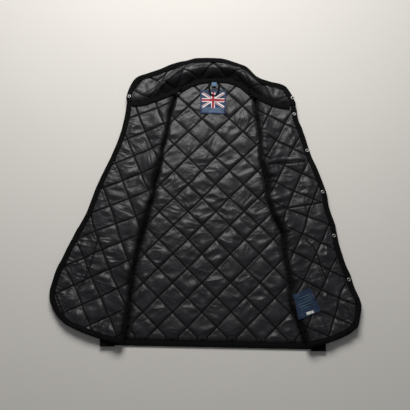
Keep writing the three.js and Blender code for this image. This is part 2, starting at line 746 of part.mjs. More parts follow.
function makeFront(frame) {
  const panel = frontPanel(frame);
  const quilt = frontQuilt(frame);
  const place = (p, q, t) => layFront(frame, p, q, t);
  const top = (p, q, swelling) => frontTop(frame, panel, p, q, swelling);
  const slab = quiltedSlab({ ...quilt, box: FRONT_BOX, top });
  const body = scoreForLaying(cutTo(slab, panel.edgeOutline, panel.bodyOutline));
  addPiece(`front_${frame.name}`, laid(raiseCreases(frame, body), place), FINISH.lining);
  const heightAt = (p) => mix(BINDING.heightInRoll, BINDING.height, turnedOver(p));
  addPiece(`front_binding_${frame.name}`, bindingBody(panel.edge, place, heightAt), FINISH.braid);
  return { quilt, place, top };
}

// A piece of cloth that lies on a quilted panel: the panel's own points, moved out.
function patch(base, outline, lift, thickness) {
  const xs = outline.map(([x]) => x);
  const ys = outline.map(([, y]) => y);
  const slab = quiltedSlab({
    ...base.quilt,
    box: [Math.min(...xs), Math.min(...ys), Math.max(...xs), Math.max(...ys)],
    top: (x, y, swelling) => base.top(x, y, swelling) + lift + thickness,
    bottom: (t) => t - thickness,
  });
  return laid(cutTo(slab, outline), base.place);
}

// Collar

const neckLength = neckCurve.getLength();

// From along and up the collar's own cut to its laid place.
function collarWarp(along, up) {
  const inside = clamp01(along / neckLength);
  const at = neckCurve.getUtoTmapping(inside);
  const foot = neckCurve.getPoint(at);
  const head = collarCurve.getPoint(at);
  const reach = head.distanceTo(foot);
  const beyond = along - inside * neckLength;
  const tangent = neckCurve.getTangent(at);
  return [
    foot.x + tangent.x * beyond + (head.x - foot.x) * up / reach,
    foot.y + tangent.y * beyond + (head.y - foot.y) * up / reach,
  ];
}

// The collar stands up behind the neck, between its two rolled creases, and rises to meet each front.
function collarRest(x, y) {
  const fromNeck = distanceTo(neckLine, x, y);
  const rise = COLLAR.rise * smooth((Math.abs(x - BACK_CENTRE_X) - COLLAR.riseFrom) / COLLAR.riseRun);
  const between = COLLAR_RIDGES.reduce((share, row) => {
    const outwards = Math.sign(BACK_CENTRE_X - row.fromX) * ridgeOffset(row, x, y).off * row.halfWidth;
    return share * smooth(0.5 - outwards / COLLAR.standBlend);
  }, 1);
  return rise * (1 - COLLAR.droop * smooth(fromNeck / COLLAR.droopRun))
    + COLLAR.stand * between * smooth(fromNeck / COLLAR.standRun);
}

function ridgeOffset(row, x, y) {
  const [dx, dy] = [row.toX - row.fromX, row.toY - row.fromY];
  const length = Math.hypot(dx, dy);
  const along = ((x - row.fromX) * dx + (y - row.fromY) * dy) / length;
  const off = ((x - row.fromX) * dy - (y - row.fromY) * dx) / length;
  return { along: along / length, off: off / row.halfWidth };
}

function ridgeHeight(x, y) {
  return COLLAR_RIDGES.reduce((sum, row) => {
    const { along, off } = ridgeOffset(row, x, y);
    if (along < 0 || along > 1 || Math.abs(off) >= 1) return sum;
    return sum + row.height * smooth(4 * along) * smooth(4 - 4 * along) * (1 - off * off) ** 2;
  }, 0);
}

function makeCollar() {
  const ends = [[neckLine[0][0], neckLine[0][1] + SEAM_GAP],
    [neckLine[NECK_STEPS][0], neckLine[NECK_STEPS][1] + SEAM_GAP]];
  const edge = curveThrough([ends[0], ...COLLAR_ROWS.map((r) => [r.topX, r.topY]), ends[1]], BINDING.steps);
  const place = (x, y, t) => [x, y, collarRest(x, y) + t];
  addPiece('collar_binding', bindingBody(edge.slice().reverse(), place), FINISH.braid);
  const inner = extended(offsetPath(edge, -BINDING.width - BINDING.gap), PAST_EDGE);
  const seam = extended(offsetPath(neckLine, SEAM_GAP), PAST_EDGE);
  const top = (u, v, swelling) => {
    const [x, y] = collarWarp(u, v);
    const distance = Math.min(distanceTo(edge, x, y) - BINDING.width, distanceTo(neckLine, x, y));
    return quiltedWall(swelling, distance);
  };
  const [low, near, past, high] = COLLAR.box;
  const box = [low, near, neckLength + past, high];
  const slab = quiltedSlab({ ...COLLAR.quilt, box, warp: collarWarp, top });
  let body = cutTo(slab, inner, [...seam, [FAR, FAR], [-FAR, FAR]]);
  for (const row of COLLAR_RIDGES) {
    const isNear = ([x, y, t]) => t > RAISED && Math.abs(ridgeOffset(row, x, y).off) < 2.5;
    for (const flank of [-1, 0, 1]) {
      body = score(body, ([x, y]) => ridgeOffset(row, x, y).off - flank, (a, b) => isNear(a) && isNear(b));
    }
  }
  const points = body.points.map(([x, y, t]) => [x, y, t > RAISED ? t + ridgeHeight(x, y) : t]);
  addPiece('collar', laid({ points, triangles: body.triangles }, place), FINISH.lining);
}

// Neck tape, laid over the body's side of the neck seam from one front across the back to the other

function tapeBed(x, y) {
  const heights = [leftFrame, rightFrame].map((frame) => {
    const { s } = foldCoordinates(frame, x, y);
    const onFront = restHeight(frame, x, y) + NECK_TAPE.overFront;
    const onBack = mix(NECK_TAPE.overBack, WALL.backHidden, coveredShare(s + NECK_TAPE.lead));
    return mix(onBack, onFront, smooth((s + NECK_TAPE.clear) / NECK_TAPE.rollReach));
  });
  return Math.max(...heights) + SEAM_GAP;
}

function makeNeckTape() {
  const from = NECK_TAPE.endInset / neckLength;
  const path = Array.from({ length: NECK_TAPE.steps + 1 }, (_, i) => {
    const v = neckCurve.getPointAt(mix(from, 1 - from, i / NECK_TAPE.steps));
    return [v.x, v.y];
  });
  const insets = [NECK_TAPE.seamInset, NECK_TAPE.seamInset + NECK_TAPE.width];
  const rows = insets.map((inset) => offsetPath(path, -inset));
  const beds = rows.map((row) => row.map(([x, y]) => tapeBed(x, y)));
  const sections = path.map((_, i) => {
    const [before, after] = [Math.max(0, i - 1), Math.min(path.length - 1, i + 1)];
    const bed = (row) => Math.max(beds[row][before], beds[row][i], beds[row][after]);
    const [a, b] = [[...rows[0][i], bed(0)], [...rows[1][i], bed(1)]];
    return [a, b, [b[0], b[1], b[2] + NECK_TAPE.thickness], [a[0], a[1], a[2] + NECK_TAPE.thickness]];
  });
  addPiece('neck_tape', loft(sections), FINISH.braid);
}

// Labels, loop and pocket

function makeLabels() {
  const onBack = { quilt: BACK_QUILT, top: backTop, place: flatOnGround };
  addPiece('neck_label', patch(onBack, NECK_LABEL, PATCH.lift, PATCH.thickness), FINISH.navy);
  const cutOutline = (outline) => outline.map(([x, y]) => upperCut(leftFrame, x, y));
  addPiece('care_label', patch(leftFront, cutOutline(CARE_LABEL), PATCH.frontLift, PATCH.thickness), FINISH.navy);
  const above = PATCH.frontLift + PATCH.thickness + PATCH.lift;
  addPiece('care_patch', patch(leftFront, cutOutline(CARE_PATCH), above, PATCH.thickness), FINISH.white);
  addPiece('pocket_welt', patch(leftFront, cutOutline(POCKET_WELT), PATCH.lift, WELT_CLOTH), FINISH.lining);
}

function makeLoop() {
  const path = Array.from({ length: LOOP.steps + 1 }, (_, i) => {
    const turn = Math.PI * i / LOOP.steps;
    const down = LOOP.drop * Math.sin(turn) ** LOOP.fullness;
    return [LOOP.centreX - LOOP.halfSpan * Math.cos(turn), LOOP.topY - down];
  });
  const outer = offsetPath(path, LOOP.width);
  const top = LOOP.bed + LOOP.thickness;
  const sections = path.map(([x, y], i) => [
    [x, y, LOOP.bed], [outer[i][0], outer[i][1], LOOP.bed], [outer[i][0], outer[i][1], top], [x, y, top],
  ]);
  addPiece('hanger_loop', loft(sections), FINISH.braid);
  const tabBed = top + SEAM_GAP;
  addPiece('size_tab', prism(SIZE_TAB, tabBed, tabBed + PATCH.thickness), FINISH.pale);
}

// Side tabs over the ends of the side seams

function makeSideTab(name, nearX, farX, hemY) {
  const bed = WALL.backHidden + WALL.frontHidden + 2 * SEAM_GAP;
  const [low, high] = [hemY - TAB.below, hemY - TAB.below + TAB.height];
  const outline = [[nearX, low], [farX, low], [farX, high], [nearX, high]];
  addPiece(name, prism(outline, bed, bed + TAB.thickness), FINISH.braid);
}

// Snaps: a ring socket turned about its own axis, seated on the braid

function makeSnap({ name, x, y }) {
  const { radius, height, rim, shoulder, hole, recess } = SNAP;
  const floor = height - recess;
  const profile = [
    [0, 0], [radius, 0], [radius, rim], [radius - shoulder, height], [hole, height], [hole, floor], [0, floor],
  ].map(([r, h]) => new THREE.Vector2(r, h));
  const lathe = new THREE.LatheGeometry(profile, SNAP.sides);
  lathe.deleteAttribute('normal');
  lathe.deleteAttribute('uv');
  const geometry = mergeVertices(lathe);
  const mesh = new THREE.Mesh(geometry, FINISH.nickel);
  const bed = name.includes('collar') ? collarRest(x, y) : restHeight(leftFrame, x, y);
  mesh.name = name;
  mesh.rotation.x = Math.PI / 2;
  mesh.position.set(x, y, bed + BINDING.height + SNAP.lift);
  group.add(mesh);
}

makeBack();
makeFront(rightFrame);
const leftFront = makeFront(leftFrame);
makeCollar();
makeNeckTape();
makeLabels();
makeLoop();
makeSideTab('side_tab_right', BACK_HEM.leftX, BACK_HEM.leftX + TAB.length, BACK_HEM.leftY);
makeSideTab('side_tab_left', BACK_HEM.rightX - TAB.length, BACK_HEM.rightX, BACK_HEM.rightY);
SNAP_ROWS.forEach(makeSnap);
group.position.set(-FOOTPRINT_CENTRE.x, -FOOTPRINT_CENTRE.y, 0);

export default group;
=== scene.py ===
"""Padded vest laid open with its lining up: the sewn pieces, their finishes, the floor and the light.

Shapes are worked out in millimetres on the table under the vest. +X is the wearer's left side, +Y
points to the collar and +Z is up. A finished point is moved to the part's own frame, in metres.
"""
import math

import bpy
import numpy as np
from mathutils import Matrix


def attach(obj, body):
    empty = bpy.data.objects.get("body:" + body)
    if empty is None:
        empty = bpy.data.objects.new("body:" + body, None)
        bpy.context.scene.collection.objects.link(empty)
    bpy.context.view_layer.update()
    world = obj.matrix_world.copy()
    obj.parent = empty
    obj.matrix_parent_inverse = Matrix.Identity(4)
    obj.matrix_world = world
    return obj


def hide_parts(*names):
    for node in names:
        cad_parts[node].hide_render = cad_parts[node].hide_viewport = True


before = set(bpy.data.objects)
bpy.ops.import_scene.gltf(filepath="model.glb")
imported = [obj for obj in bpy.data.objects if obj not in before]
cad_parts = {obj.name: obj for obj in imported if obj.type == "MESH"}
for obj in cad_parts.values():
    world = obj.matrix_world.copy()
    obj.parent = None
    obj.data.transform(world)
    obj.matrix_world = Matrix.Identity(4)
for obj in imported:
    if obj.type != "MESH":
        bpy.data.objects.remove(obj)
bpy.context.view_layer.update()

bl_info = {
    "name": "Padded vest, laid open",
    "version": (1, 0, 0),
    "blender": (4, 0, 0),
    "location": "View3D > Sidebar > Vest",
    "description": "Builds a quilted vest that lies open on a floor, lining up",
    "category": "Add Mesh",
}

# Where the part's own frame has its middle on the table
FOOTPRINT_CENTRE = np.array([-0.65, 23.55])
MILLIMETRE = 0.001

# The plain side of a wall has one point for so many of the lining's
PLAIN_STRIDE = 4

# Layers and gaps, as in the solids
SEAM_GAP = 0.3
BACK_CENTRE_X = 18.5
BACK_HIDDEN = 5.0
FRONT_HIDDEN = 3.0
EDGE_WALL = 3.2
EDGE_BAND = 16.0
NECK_BAND = 18.0
DIAGONAL = 71.8
SQUARE = DIAGONAL / math.sqrt(2)
COVER_FROM = -1.0
COVER_RUN = 7.0
ROLL_DEVELOPED = 17.0
ROLL_WALL = 5.0
ROLL_INNER_AT_NECK = 1.5
ROLL_INNER = 4.4
ROLL_OPENING = 120.0
BRAID_WIDTH = 14.0
BRAID_HEIGHT = 5.2
BRAID_HEIGHT_IN_ROLL = 3.0
TURN_FROM = 5.5
TURN_RUN = 7.0
UNDER_FOLD = 14.0
UNDER_BRAID = 2.0

# The hem's ends on the wearer's right and left, and the tabs beside them
HEM_AT_RIGHT = (-252.0, -346.0)
HEM_AT_LEFT = (289.0, -357.0)
TAB_LENGTH = 36.0
TAB_HEIGHT = 30.0
TAB_BELOW_HEM = 3.5

# How a front lies: over the layers below, past the side seam, at the hem and at its corner
REST = {
    "over_layers": 9.0, "settle": 45.0, "half_width": 268.0, "armhole_in": 60.0,
    "armpit_y": 75.0, "armpit_run": 60.0, "side_drop": 6.5, "side_run": 70.0, "hem_lift": 3.0,
    "hem_lift_y": -285.0, "hem_lift_run": 30.0, "corner_lift": 9.0, "corner_lift_y": -190.0,
    "corner_lift_run": 110.0, "loose_from": 20.0, "loose_run": 40.0, "lowest_ripple": -2.0,
}

# Where the fronts' ripples are: the long ones, the corner's crests and the broad ones
RIPPLE = {
    "long_y": 40.0, "long_run": 160.0, "corner_y": -70.0, "corner_run": 60.0, "corner_x": 225.0,
    "corner_x_run": 50.0, "crest": 4.0, "crest_by_side": 1.4, "broad_y": 300.0, "broad_run": 120.0,
}

# The back's trough beside each fold: its width and how that grows towards the hem, what it keeps
# of the quilting's height, and its shade
TROUGH = {
    "width": 8.0, "wider_right": 11.0, "wider_left": 7.0, "wider_y": 150.0, "wider_run": 250.0,
    "lowest": 0.6, "bed": 0.4, "kept": 0.35, "pucker": 1.1, "shade": 0.85,
}

# Puckers beside stitching: how far they take to rise and to fade
EDGE_PUCKERS = (2.0, 12.0)
LONG_EDGE_PUCKERS = (4.0, 26.0)
SEAM_PUCKERS = (1.5, 9.0)
CHANNEL_PUCKER_RISE = 2.0

# A seam across a front: its depth, half width and shade
SEAM = {"depth": 2.2, "half_width": 2.6, "shade": 0.8, "shade_width": 2.0}

# A front over its roll: how the wall rises, the ridges along it, and the shade inside it
OVER_ROLL = {
    "rise": 19.0, "ridge": 0.3, "ridge_from": 12.0, "ridge_fade": 14.0, "shade": 0.85,
    "shade_to": 30.0, "shade_run": 20.0,
}

# Where the collar joins the body, and its outer edge, across the neck from -X to +X
NECK_POINTS = np.array([
    (-206, 275), (-168, 277), (-134, 288), (-102, 300), (-72, 315), (-42, 333), (-8, 344),
    (28, 347), (64, 345), (98, 331), (126, 307), (158, 285), (196, 271), (239, 265),
], float)
COLLAR_POINTS = np.array([
    (-208, 292), (-187, 345), (-150, 362), (-118, 374), (-88, 388), (-60, 397.5), (-18, 399.5),
    (28, 399.5), (72, 395), (108, 383), (140, 350), (172, 337), (214, 323), (239, 272),
], float)
COLLAR_QUILT_ORIGIN = (207.0, 2.0)

# Rolled creases of the collar: from, to, height, half width, depth of the dip on the outer side,
# and the width over which the stand dies out
COLLAR_RIDGES = [
    ((-56, 382), (-127, 313), 7.5, 12.0, 4.5, 26.0),
    ((80, 380), (151, 300), 7.5, 15.0, 2.5, 42.0),
]
COLLAR_RISE = {"from": 70.0, "run": 45.0, "height": 9.0, "droop": 0.55, "droop_run": 60.0}
COLLAR_STAND = 15.0
STAND_RUN = 28.0
COLLAR_ROLL = 3.5

# The two fronts: the fold's ends and its sideways run, the quilting, the cut's outlines and the
# gathers at the fold (along, reach, width, height, slant)
RIGHT = {
    "name": "right", "side": -1, "neck_from": -85,
    "fold": ((-77, 303), (-194, -340)),
    "shift": ((0, 0), (100, 4), (230, 4), (340, 7), (420, 15), (500, 13), (580, 4), (650, 0)),
    "quilt": ((-240.6, -5.2), -22.2),
    "edge": ((-206, 274.5), (-211.5, 233), (-222.5, 184), (-245, 123), (-276, 48), (-314, -50),
             (-352, -132), (-373, -185), (-380, -222), (-372, -255), (-345, -291), (-309, -311),
             (-252, -332), (-212, -342)),
    "corner": (-362, -272),
    "lower_hem": ((-210, -346), (-232, -346), (-252, -346)),
    "side_cut": ((-195, 260), (-182, 200), (-184, 150), (-204, 105), (-243.5, 75), (-249, -150),
                 (-252, -346)),
    "gathers": (
        (52, 26, 7, 1.8, 0.4), (88, 30, 9, 2.2, 0.3), (131, 26, 7, 1.8, 0.2), (176, 34, 9, 2.2, -0.1),
        (219, 30, 8, 2.0, 0.0), (262, 40, 10, 2.6, 0.1), (306, 28, 8, 2.0, -0.1),
        (352, 34, 9, 2.4, 0.1), (400, 32, 8, 2.0, -0.2), (447, 44, 10, 2.8, -0.3),
        (490, 34, 8, 2.2, -0.3), (535, 40, 10, 2.6, -0.4), (590, 34, 9, 2.2, -0.3),
    ),
    "seams": (((-265, -82), (-282, -149), (-294, -187), (-312, -215)),),
    "puckered": 1.0,
    "gathered": 0.9,
}
LEFT = {
    "name": "left", "side": 1, "neck_from": 138,
    "fold": ((130, 297), (243, -350)),
    "shift": ((0, 0), (60, -4), (100, -9), (200, -16), (260, -18), (320, -14), (385, -3), (440, -4),
              (500, -8), (550, -14), (600, -6), (657, 0)),
    "quilt": ((156.9, 122.8), 19.5),
    "edge": ((239, 264.5), (243, 236), (254, 202), (277, 123), (305, 42), (323, -39), (339, -121),
             (360, -185), (376, -236), (377, -270), (364, -306), (333, -327), (288, -343),
             (258, -349)),
    "corner": (372, -290),
    "lower_hem": ((256, -356.5), (272, -357), (289, -357)),
    "side_cut": ((226, 252), (219, 200), (221, 150), (241, 105), (280.5, 75), (286, -150),
                 (289, -357)),
    "gathers": (
        (40, 34, 8, 2.4, 0.5), (74, 44, 10, 3.4, 0.5), (93, 34, 6, 2.4, 0.4), (112, 60, 11, 4.6, 0.3),
        (131, 40, 6, 2.6, 0.2), (150, 40, 11, 5.0, 0.1), (168, 48, 6, 2.8, 0.0),
        (186, 32, 10, 4.2, 0.0), (204, 44, 6, 2.8, 0.0), (222, 72, 11, 5.2, 0.0),
        (240, 44, 6, 2.8, 0.0), (259, 56, 10, 4.4, -0.1), (278, 40, 6, 2.6, -0.1),
        (296, 74, 11, 5.2, -0.2), (315, 44, 6, 2.6, -0.2), (335, 58, 11, 4.4, -0.3),
        (355, 40, 6, 2.4, -0.3), (376, 64, 11, 4.0, -0.4), (402, 40, 7, 2.4, -0.4),
        (430, 46, 10, 3.0, -0.4), (464, 34, 7, 2.2, -0.3), (500, 52, 10, 2.8, -0.3),
        (545, 36, 8, 2.2, -0.3), (590, 34, 8, 2.0, -0.2),
    ),
    "seams": (((253, -93), (270, -110), (289, -168), (297, -188)),
              ((172, -24), (195, -13), (257, -4), (300, 4)),
              ((157, 103), (207, 107), (258, 111))),
    "puckered": 0.6,
    "gathered": 1.0,
}

BACK_QUILT = ((28.0, -18.0), 0.0)

# Corners of what is sewn on, the hanger loop's middle, half span and drop, and the snaps
NECK_LABEL = ((-12, 313), (57, 313), (54, 245), (-13, 247))
NECK_LABEL_SIZE = (68.0, 67.0)
FLAG_SIZE = (60.0, 43.0)
FLAG_CENTRE = (0.5, 0.43)
SIZE_TAB = ((18, 333), (31, 333), (30.5, 322), (17.5, 322))
CARE_LABEL = ((214, -228), (256, -211), (280, -266), (227, -287))
CARE_PATCH = ((243, -270), (261, -264.6), (263, -270.6), (245, -276.6))
WELT_TOP = ((158, 110), (180, 120), (212, 125), (258, 128))
WELT_LOW = ((154, 98), (180, 108), (214, 113), (258, 115))
WELT_HEIGHT = 14.0
LABEL_CLOTH = 0.7
LOOP = {"x": 24.0, "y": 330.0, "half_span": 15.5, "drop": 37.0, "fullness": 0.6, "bed": 7.5}
SNAPS = {
    "snap_collar_right": (-200, 291), "snap_collar_left": (231, 287), "snap_1": (234, 241),
    "snap_2": (264, 142), "snap_3": (298, 30.5), "snap_4": (322, -81), "snap_5": (353.5, -190),
}
SNAP_SIDES = 48

# Random waves of the cloth: height and cell, in millimetres unless they turn or scale, and seed
WAVES = {
    "quilt_wander": (1.6, 95.0, 11),
    "plumpness": (0.14, 17.0, 5),
    "fine_pucker": (1.0, 6.5, 7),
    "broad_pucker": (1.0, 12.0, 8),
    "dent": (1.0, 21.0, 40),
    "crease_turn": (0.75, 13.0, 50),
    "crease_quarter_turn": (1.0, 19.0, 51),
    "creased_area": (0.9, 37.0, 60),
    "fold_wander": (3.2, 33.0, 71),
    "fold_waver": (1.2, 13.0, 74),
    "long_ripple": (1.9, 46.0, 61),
    "broad_ripple": (1.0, 85.0, 64),
    "corner_ripple": (1.0, 17.0, 67),
    "gather_bend": (2.5, 22.0, 301),
    "gather_start": (5.0, 11.0, 319),
    "gather_reach": (14.0, 31.0, 320),
    "gather_lean": (0.3, 47.0, 321),
    "fine_gather": (1.0, 8.0, 322),
    "edge_pucker": (1.0, 6.5, 91),
    "long_edge_pucker": (1.0, 13.0, 92),
    "seam_pucker": (1.0, 6.0, 93),
    "roll_ridge": (1.0, 17.0, 94),
    "roll_shade": (8.0, 37.0, 95),
    "trough_width": (4.0, 34.0, 210),
    "fine_trough": (1.0, 7.0, 211),
    "broad_trough": (1.0, 13.0, 212),
    "collar_crumple": (1.3, 10.0, 640),
    "collar_crinkle": (0.455, 6.0, 641),
    "braid_wave": (0.5, 16.0, 71),
    "braid_waver": (0.25, 7.0, 72),
    "tape_ripple": (0.35, 9.0, 81),
    "tab_ripple": (0.25, 8.0, 91),
}
LONG_CREASE = 30.0
SHORT_CREASE = 15.0

# Neighbouring squares and channels are so far apart in the waves that each has heights of its own
SQUARES_APART = 31.0
CHANNELS_APART = 613.0

# The soft light beyond the collar, and the light from all round, in metres and linear colours
WINDOW_PLACE = (-0.1, 1.2, 1.24)
WINDOW_AIM = (0.0, -0.05, 0.0)
WINDOW_SIZE = (1.15, 0.75)
WINDOW_COLOUR = (1.0, 0.985, 0.96)
ROOM_COLOUR = (0.95, 0.97, 1.0)
FLOOR_HALF = 4000.0
FLOOR_BELOW = 0.4

# What a wave texture of scale 1 repeats over
WAVE_REPEAT = math.pi / 10


# Numbers and curves

def smooth(value):
    """Rises from 0 to 1 as three squares less two cubes of the value, held between 0 and 1."""
    held = np.clip(value, 0.0, 1.0)
    return held * held * (3.0 - 2.0 * held)


def mix(low, high, share):
    """The low value plus a share of the way to the high one."""
    return low + (high - low) * share


def read_table(rows, at):
    """The second column at a place in the first: each step between two rows is a smooth rise."""
    keys = np.array([row[0] for row in rows], float)
    values = np.array([row[1] for row in rows], float)
    i = np.clip(np.searchsorted(keys, at) - 1, 0, len(keys) - 2)
    share = smooth((at - keys[i]) / (keys[i + 1] - keys[i]))
    return mix(values[i], values[i + 1], share)


def curve_at(points, at):
    """Places on a smooth curve through points: a cubic in each stretch, its slopes weighed by the
    square roots of the stretches' lengths."""
    points = np.asarray(points, float)
    all_points = np.vstack([2 * points[0] - points[1], points, 2 * points[-1] - points[-2]])
    i = np.clip(np.floor(at).astype(int), 0, len(points) - 2)
    w = (at - i)[:, None]
    p0, p1, p2, p3 = (all_points[i + k] for k in range(4))
    d0, d1, d2 = (np.sqrt(np.linalg.norm(b - a, axis=1))[:, None]
                  for a, b in ((p0, p1), (p1, p2), (p2, p3)))
    start = ((p1 - p0) / d0 - (p2 - p0) / (d0 + d1) + (p2 - p1) / d1) * d1
    end = ((p2 - p1) / d1 - (p3 - p1) / (d1 + d2) + (p3 - p2) / d2) * d1
    return (p1 + start * w + (3 * (p2 - p1) - 2 * start - end) * w ** 2
            + (2 * (p1 - p2) + start + end) * w ** 3)


def lengths_along(path):
    """The running length of a path at each of its points."""
    return np.concatenate([[0.0], np.cumsum(np.linalg.norm(np.diff(path, axis=0), axis=1))])


def join(*parts):
    """Arrays spread to one shape and put side by side, as the coordinates of points."""
    return np.stack(np.broadcast_arrays(*parts), axis=-1)


def walk(path, run, at):
    """Places on a path of straight stretches at given running lengths."""
    return join(*(np.interp(at, run, path[:, k]) for k in range(path.shape[1])))


def even_path(path, count):
    """A path walked in even steps of length."""
    run = lengths_along(path)
    return walk(path, run, np.linspace(0.0, run[-1], count))


def smooth_path(points, count):
    """The smooth curve through points, walked in even steps."""
    return even_path(curve_at(points, np.linspace(0, len(points) - 1, 40 * len(points))), count)


def left_normals(path):
    """The unit normal to the left of a flat path at each of its points."""
    step = np.gradient(path, axis=0)
    step /= np.linalg.norm(step, axis=1)[:, None]
    return np.stack([-step[:, 1], step[:, 0]], axis=1)


def nearest_on(path, x, y):
    """The least distance from each place to a run of straight stretches, and how far along the
    run the nearest point lies."""
    path = np.asarray(path, float)
    best = np.full(np.shape(x), np.inf)
    nearest = np.zeros(np.shape(x))
    for a, b, start in zip(path[:-1], path[1:], lengths_along(path)):
        dx, dy = b - a
        share = np.clip(((x - a[0]) * dx + (y - a[1]) * dy) / (dx * dx + dy * dy), 0, 1)
        distance = np.hypot(x - a[0] - share * dx, y - a[1] - share * dy)
        nearest = np.where(distance < best, start + share * math.hypot(dx, dy), nearest)
        best = np.minimum(best, distance)
    return best, nearest


def distance_to(path, x, y):
    """The least distance alone."""
    return nearest_on(path, x, y)[0]


def noise(x, y, cell, seed):
    """Random heights from -1 to 1 on a lattice of the given cell, joined by smooth ramps."""
    size, shift_x, shift_y = 128, 40.37, 40.71
    heights = np.random.default_rng(seed).uniform(-1.0, 1.0, (size, size))
    u, v = x / cell + shift_x, y / cell + shift_y
    i, j = np.floor(u).astype(int), np.floor(v).astype(int)
    fu, fv = smooth(u - i), smooth(v - j)
    left, right, low, high = i % size, (i + 1) % size, j % size, (j + 1) % size
    return mix(mix(heights[left, low], heights[right, low], fu),
               mix(heights[left, high], heights[right, high], fu), fv)


def wave(name, x, y=0.0, seed=0):
    """One of the vest's random waves at a place, or along a line."""
    height, cell, own_seed = WAVES[name]
    return height * noise(x, y, cell, own_seed + seed)


def creases(along, across, cell, seed):
    """Sharp-backed wrinkles three times as long as wide: one less the size of warped noise, cubed,
    so that the noise's zero lines become ridges."""
    warp = 0.35 * cell * noise(along, across, 1.5 * cell, seed + 1)
    ridge = 1.0 - np.abs(noise(along, 3.0 * (across + warp), cell, seed))
    return ridge ** 3


def sharp(heights):
    """Turns a wave's zero crossings into narrow crests: one less its size, squared, less 0.4."""
    return (1.0 - np.abs(heights)) ** 2 - 0.4


def beside_seam(off, rise, fade):
    """How strongly cloth puckers at a distance from stitching: one less an exponential that falls
    over the rise, times one that falls over the fade."""
    return (1.0 - np.exp(-off / rise)) * np.exp(-off / fade)


# Quilting

def lattice(quilt, x, y):
    """Coordinates that count the quilting's squares along its two sets of channels."""
    (ox, oy), turn = quilt
    cos, sin = math.cos(math.radians(turn)), math.sin(math.radians(turn))
    wander_x = x + wave("quilt_wander", x, y) - ox
    wander_y = y + wave("quilt_wander", x, y, 1) - oy
    along, up = cos * wander_x + sin * wander_y, -sin * wander_x + cos * wander_y
    return (along + up) / DIAGONAL, (along - up) / DIAGONAL


def quilting(quilt, x, y, seed, cloth):
    """Height of the lining over the plain side, and painted shade at a stitched channel from 0 to 1.

    The pad is the channel's height plus the crown times the two sines of the lattice, each to a
    power below one, so it drops steeply at the stitching and is broad on top. Puckers stand
    across each channel and die out away from it. Each square has creases and dents in a direction
    of its own, mostly across the vest, which fade towards its channels. The painted shade is a bell
    over the distance from the nearest channel, and the lining sinks with it.
    """
    alpha, beta = lattice(quilt, x, y)
    swell = np.abs(np.sin(math.pi * alpha) * np.sin(math.pi * beta)) ** cloth.fullness
    square = (np.floor(alpha) * SQUARES_APART, np.floor(beta) * SQUARES_APART)
    plump = 1.0 + wave("plumpness", *square, seed)
    height = cloth.channel_mm + (cloth.crown_mm - cloth.channel_mm) * swell * plump
    off_a = np.abs(alpha - np.round(alpha)) * SQUARE
    off_b = np.abs(beta - np.round(beta)) * SQUARE
    for off, run, line in ((off_a, beta, alpha), (off_b, alpha, beta)):
        strength = beside_seam(off, CHANNEL_PUCKER_RISE, cloth.pucker_reach_mm)
        row = np.round(line) * CHANNELS_APART
        fine = sharp(wave("fine_pucker", run * SQUARE + 0.2 * off, row, seed))
        broad = sharp(wave("broad_pucker", run * SQUARE - 0.3 * off, row, seed))
        height = height + cloth.pucker_mm * strength * (0.45 * fine + 0.55 * broad)
    inside = smooth(np.minimum(off_a, off_b) / 9.0)
    turn = wave("crease_turn", *square, seed)
    turn = turn + 0.5 * math.pi * (wave("crease_quarter_turn", *square, seed) > 0.45)
    along, across = np.cos(turn) * x + np.sin(turn) * y, np.cos(turn) * y - np.sin(turn) * x
    crease = creases(along, across, LONG_CREASE, seed + 20)
    crease = crease + 0.4 * creases(along, across, SHORT_CREASE, seed + 30)
    some = smooth(wave("creased_area", x, y, seed) + 0.6)
    height = height + cloth.crease_mm * inside * some * (crease - 0.4)
    height = height + cloth.dent_mm * inside * wave("dent", along, 1.6 * across, seed)
    painted_shade = np.exp(-(np.minimum(off_a, off_b) / cloth.groove_mm) ** 2)
    return height - cloth.groove_depth_mm * painted_shade, painted_shade


def near_edge(height, distance):
    """Sinks the wall towards a bound edge or seam, where the padding is trimmed away."""
    return mix(np.minimum(height, EDGE_WALL), height, smooth(distance / EDGE_BAND))


# Laying a front over its fold

def make_frame(front):
    """A front with its fold's directions: along the fold, and out from it towards the armhole."""
    (tx, ty), (bx, by) = front["fold"]
    length = math.hypot(bx - tx, by - ty)
    along = ((bx - tx) / length, (by - ty) / length)
    out = (-along[1] * front["side"], along[0] * front["side"])
    return {**front, "along": along, "out": out, "length": length}


def roll_inner(q):
    """Inside radius of the fold's roll, which opens from the neck down."""
    return mix(ROLL_INNER_AT_NECK, ROLL_INNER, smooth(q / ROLL_OPENING))


def roll_centre(q):
    """How far the roll's axis lies out from the fold line."""
    return roll_inner(q) + ROLL_WALL


def fold_wander(front, s, q):
    """The small wander of loose cloth at the fold, which dies out away from it."""
    wander = wave("fold_wander", q, seed=front["side"]) + wave("fold_waver", q)
    ends = smooth(q / 60.0) * smooth((front["length"] - q) / 60.0)
    return wander * ends * smooth(1.0 - s / 70.0)


def fold_coordinates(front, x, y):
    """How far a place lies out from the fold line, and along it. The wander depends on the answer,
    so it is taken off a few times over, each time from the last answer."""
    dx, dy = x - front["fold"][0][0], y - front["fold"][0][1]
    q = dx * front["along"][0] + dy * front["along"][1]
    straight = dx * front["out"][0] + dy * front["out"][1] - read_table(front["shift"], q)
    s = straight
    for _ in range(4):
        s = straight - fold_wander(front, s, q)
    return s, q


def lay_out(front, s, q):
    """The place on the table at a distance out from the fold line and along it."""
    out = s + read_table(front["shift"], q) + fold_wander(front, s, q)
    x = front["fold"][0][0] + front["along"][0] * q + front["out"][0] * out
    y = front["fold"][0][1] + front["along"][1] * q + front["out"][1] * out
    return x, y


def upper_cut(front, points):
    """Places on the turned-back layer, carried into the flat cut past the roll's length."""
    points = np.asarray(points, float)
    s, q = fold_coordinates(front, points[..., 0], points[..., 1])
    return join(ROLL_DEVELOPED + s - roll_centre(q), q)


